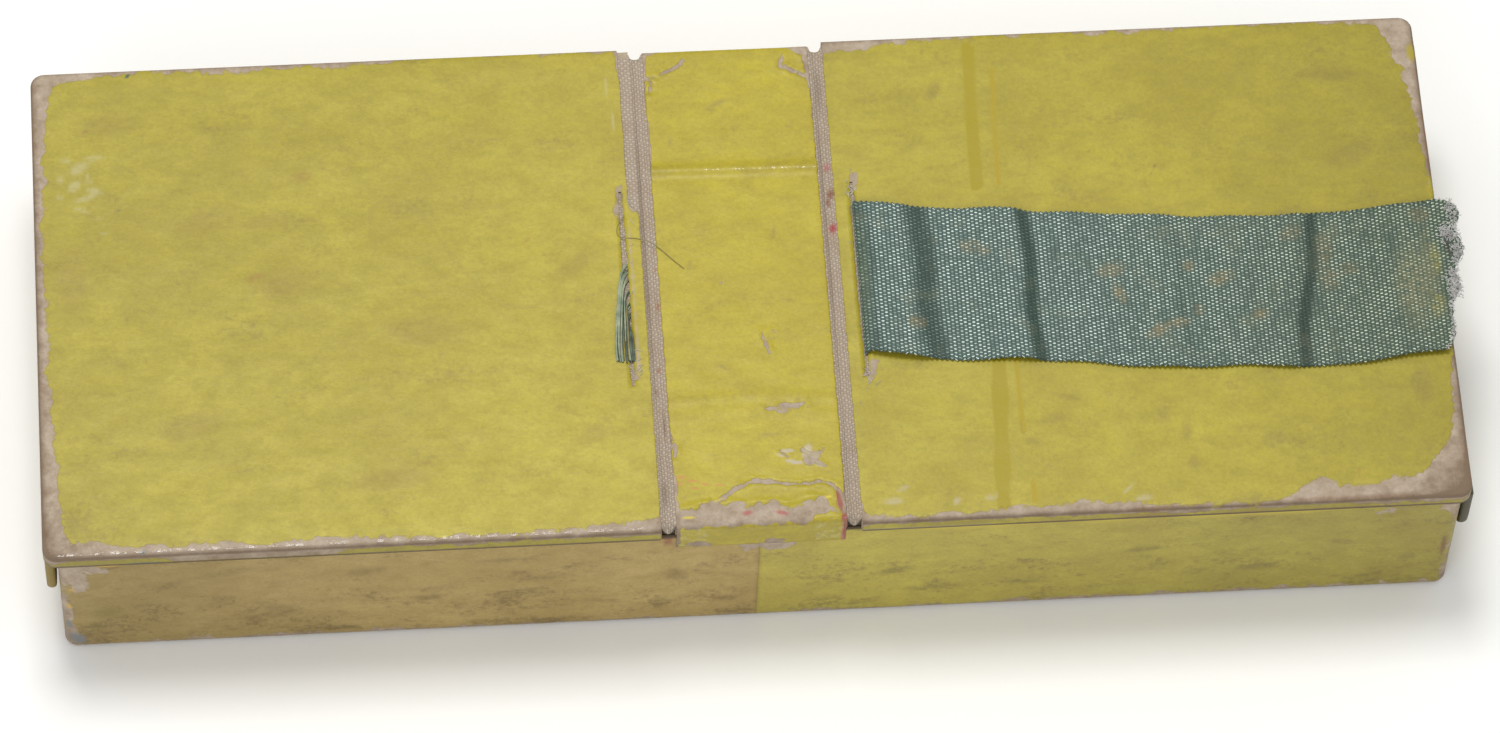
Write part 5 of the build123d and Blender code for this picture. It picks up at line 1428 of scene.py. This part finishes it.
def velvet_cover(name):
    """Velvet laid over a bed's board and pressed down into the medal's recess and its ribbon's channel."""
    side = SIDES[name]
    low, high = span(f"{name}_bed_velvet")
    near, far = sorted((abs(low[0]), abs(high[0])))
    half, top, floor = high[1], high[2], low[2] + 0.5
    middle = (near + far) / 2
    backing_low, backing_high = span(f"{name}_bed_backing")
    medal_y = (backing_low[1] + backing_high[1]) / 2
    xs = lines_across(near, far, GRID_STEP, VELVET_LINES, VELVET_LINES)
    ys = lines_across(-half, half, GRID_STEP, VELVET_LINES, VELVET_LINES)
    x, y = spread(xs, ys)
    from_medal = MEDAL_RECESS - np.hypot(x - middle, y - medal_y)
    in_channel = np.minimum(np.minimum(CHANNEL_HALF - np.abs(x - middle), CHANNEL_END - y), y - medal_y)
    drop_medal = (top - floor) * np.clip(from_medal / 0.7 + 0.3, 0, 1) ** 2
    drop_channel = CHANNEL_DEEP * np.clip(in_channel / 0.8 + 0.2, 0, 1) ** 2
    outline = np.minimum(np.minimum(x - near, far - x), np.minimum(y + half, half - y))
    z = top - np.maximum(drop_medal, drop_channel) - rounded_drop(outline, 1.2) * 0.4
    z = z + 0.05 * smooth_noise(9, 71, side * x, y) - 0.05
    points, cut = np.column_stack([x, y, z]), np.column_stack([x, y])
    made = joined(f"{name}_velvet", side, points, grid_faces(len(xs), len(ys)), VELVET, cut=cut)
    thicken(made, VELVET_THICK)
    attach(made, "tray")
    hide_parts(f"{name}_bed_velvet")


# ---------------------------------------------------------------- building

for side_name in SIDES:
    lid_cover(side_name)
    hinge_cloth(side_name)
    flap_cover(side_name)
    flap_fold(side_name)
    velvet_cover(side_name)
bridge_cover()
tray_cover("left", BROWNED_PAPER)
tray_cover("right", TRAY_PAPER)
silk_band()
frayed_end()
torn_tail()
thread_tuft()
loose_thread()
for side_name in SIDES:
    torn_fibres(side_name)

# CAD nodes that stay: their finish, with a knife's blunt arris on the boards
finishes = dict.fromkeys(("base_board", "front_wall", "back_wall", "bridge_board"), BOARD)
finishes |= {"base_paper": BASE_PAPER, "corner_stays": TAPE, "bridge_lining": LINING}
for side_name in SIDES:
    for part in ("end_wall", "lid_board", "partition", "bed_backing", "bed_board", "bed_risers"):
        finishes[f"{side_name}_{part}"] = BOARD
    for part in ("compartment_lining", "lid_lining"):
        finishes[f"{side_name}_{part}"] = LINING
for node_name, finish in finishes.items():
    piece = frame["nodes"][node_name]
    for slot in piece.material_slots:
        slot.link = "OBJECT"
        slot.material = finish
    if finish is BOARD:
        blunt = piece.modifiers.new("blunt_arris", "BEVEL")
        blunt.width = 0.12 * MM
        blunt.segments = 2
        blunt.limit_method = "ANGLE"
        blunt.angle_limit = radians(50)

# ---------------------------------------------------------------- floor, camera, light

bpy.ops.mesh.primitive_grid_add(x_subdivisions=8, y_subdivisions=8, size=6.0, location=(0, 0, 0))
floor = bpy.context.object
floor.name = "studio_floor"
floor.data.materials.append(white_board())

AZIMUTH, ELEVATION, ROLL = radians(6.97), radians(60.0), radians(3.48)
LENS, DISTANCE, TARGET = 180.3, 1.1064, Vector((0.00203, 0.00203, 0))
look = Vector((sin(AZIMUTH) * cos(ELEVATION), cos(AZIMUTH) * cos(ELEVATION), -sin(ELEVATION)))
right = Vector((cos(AZIMUTH), -sin(AZIMUTH), 0))
up = right.cross(look)
camera_x = right * cos(ROLL) + up * sin(ROLL)
camera_y = up * cos(ROLL) - right * sin(ROLL)
camera = bpy.data.objects.new("camera", bpy.data.cameras.new("camera"))
camera.data.lens = LENS
camera.data.sensor_width = 36
camera.data.clip_start, camera.data.clip_end = 0.1, 20
turned = Matrix((camera_x, camera_y, -look)).transposed().to_4x4()
camera.matrix_world = Matrix.Translation(TARGET - look * DISTANCE) @ turned
bpy.context.scene.collection.objects.link(camera)
bpy.context.scene.camera = camera


def soft_light(name, place, size, watts, warmth):
    """A square soft box aimed at the middle of the case."""
    light = bpy.data.lights.new(name, "AREA")
    light.size = size
    light.energy = watts
    light.color = warmth
    lamp = bpy.data.objects.new(name, light)
    lamp.location = place
    lamp.rotation_euler = (-Vector(place)).to_track_quat("-Z", "Y").to_euler()
    bpy.context.scene.collection.objects.link(lamp)


soft_light("key_light", (-0.1, 0.3, 1.2), 0.4, 7.5, (1, 0.99, 0.97))
soft_light("front_fill", (-0.35, -0.95, 0.85), 0.7, 3.0, (0.97, 0.985, 1))
world = bpy.data.worlds.new("studio")
world.use_nodes = True
world.node_tree.nodes["Background"].inputs[0].default_value = (1, 1, 1, 1)
world.node_tree.nodes["Background"].inputs[1].default_value = 0.6
bpy.context.scene.world = world
bpy.context.scene.view_settings.view_transform = "Standard"
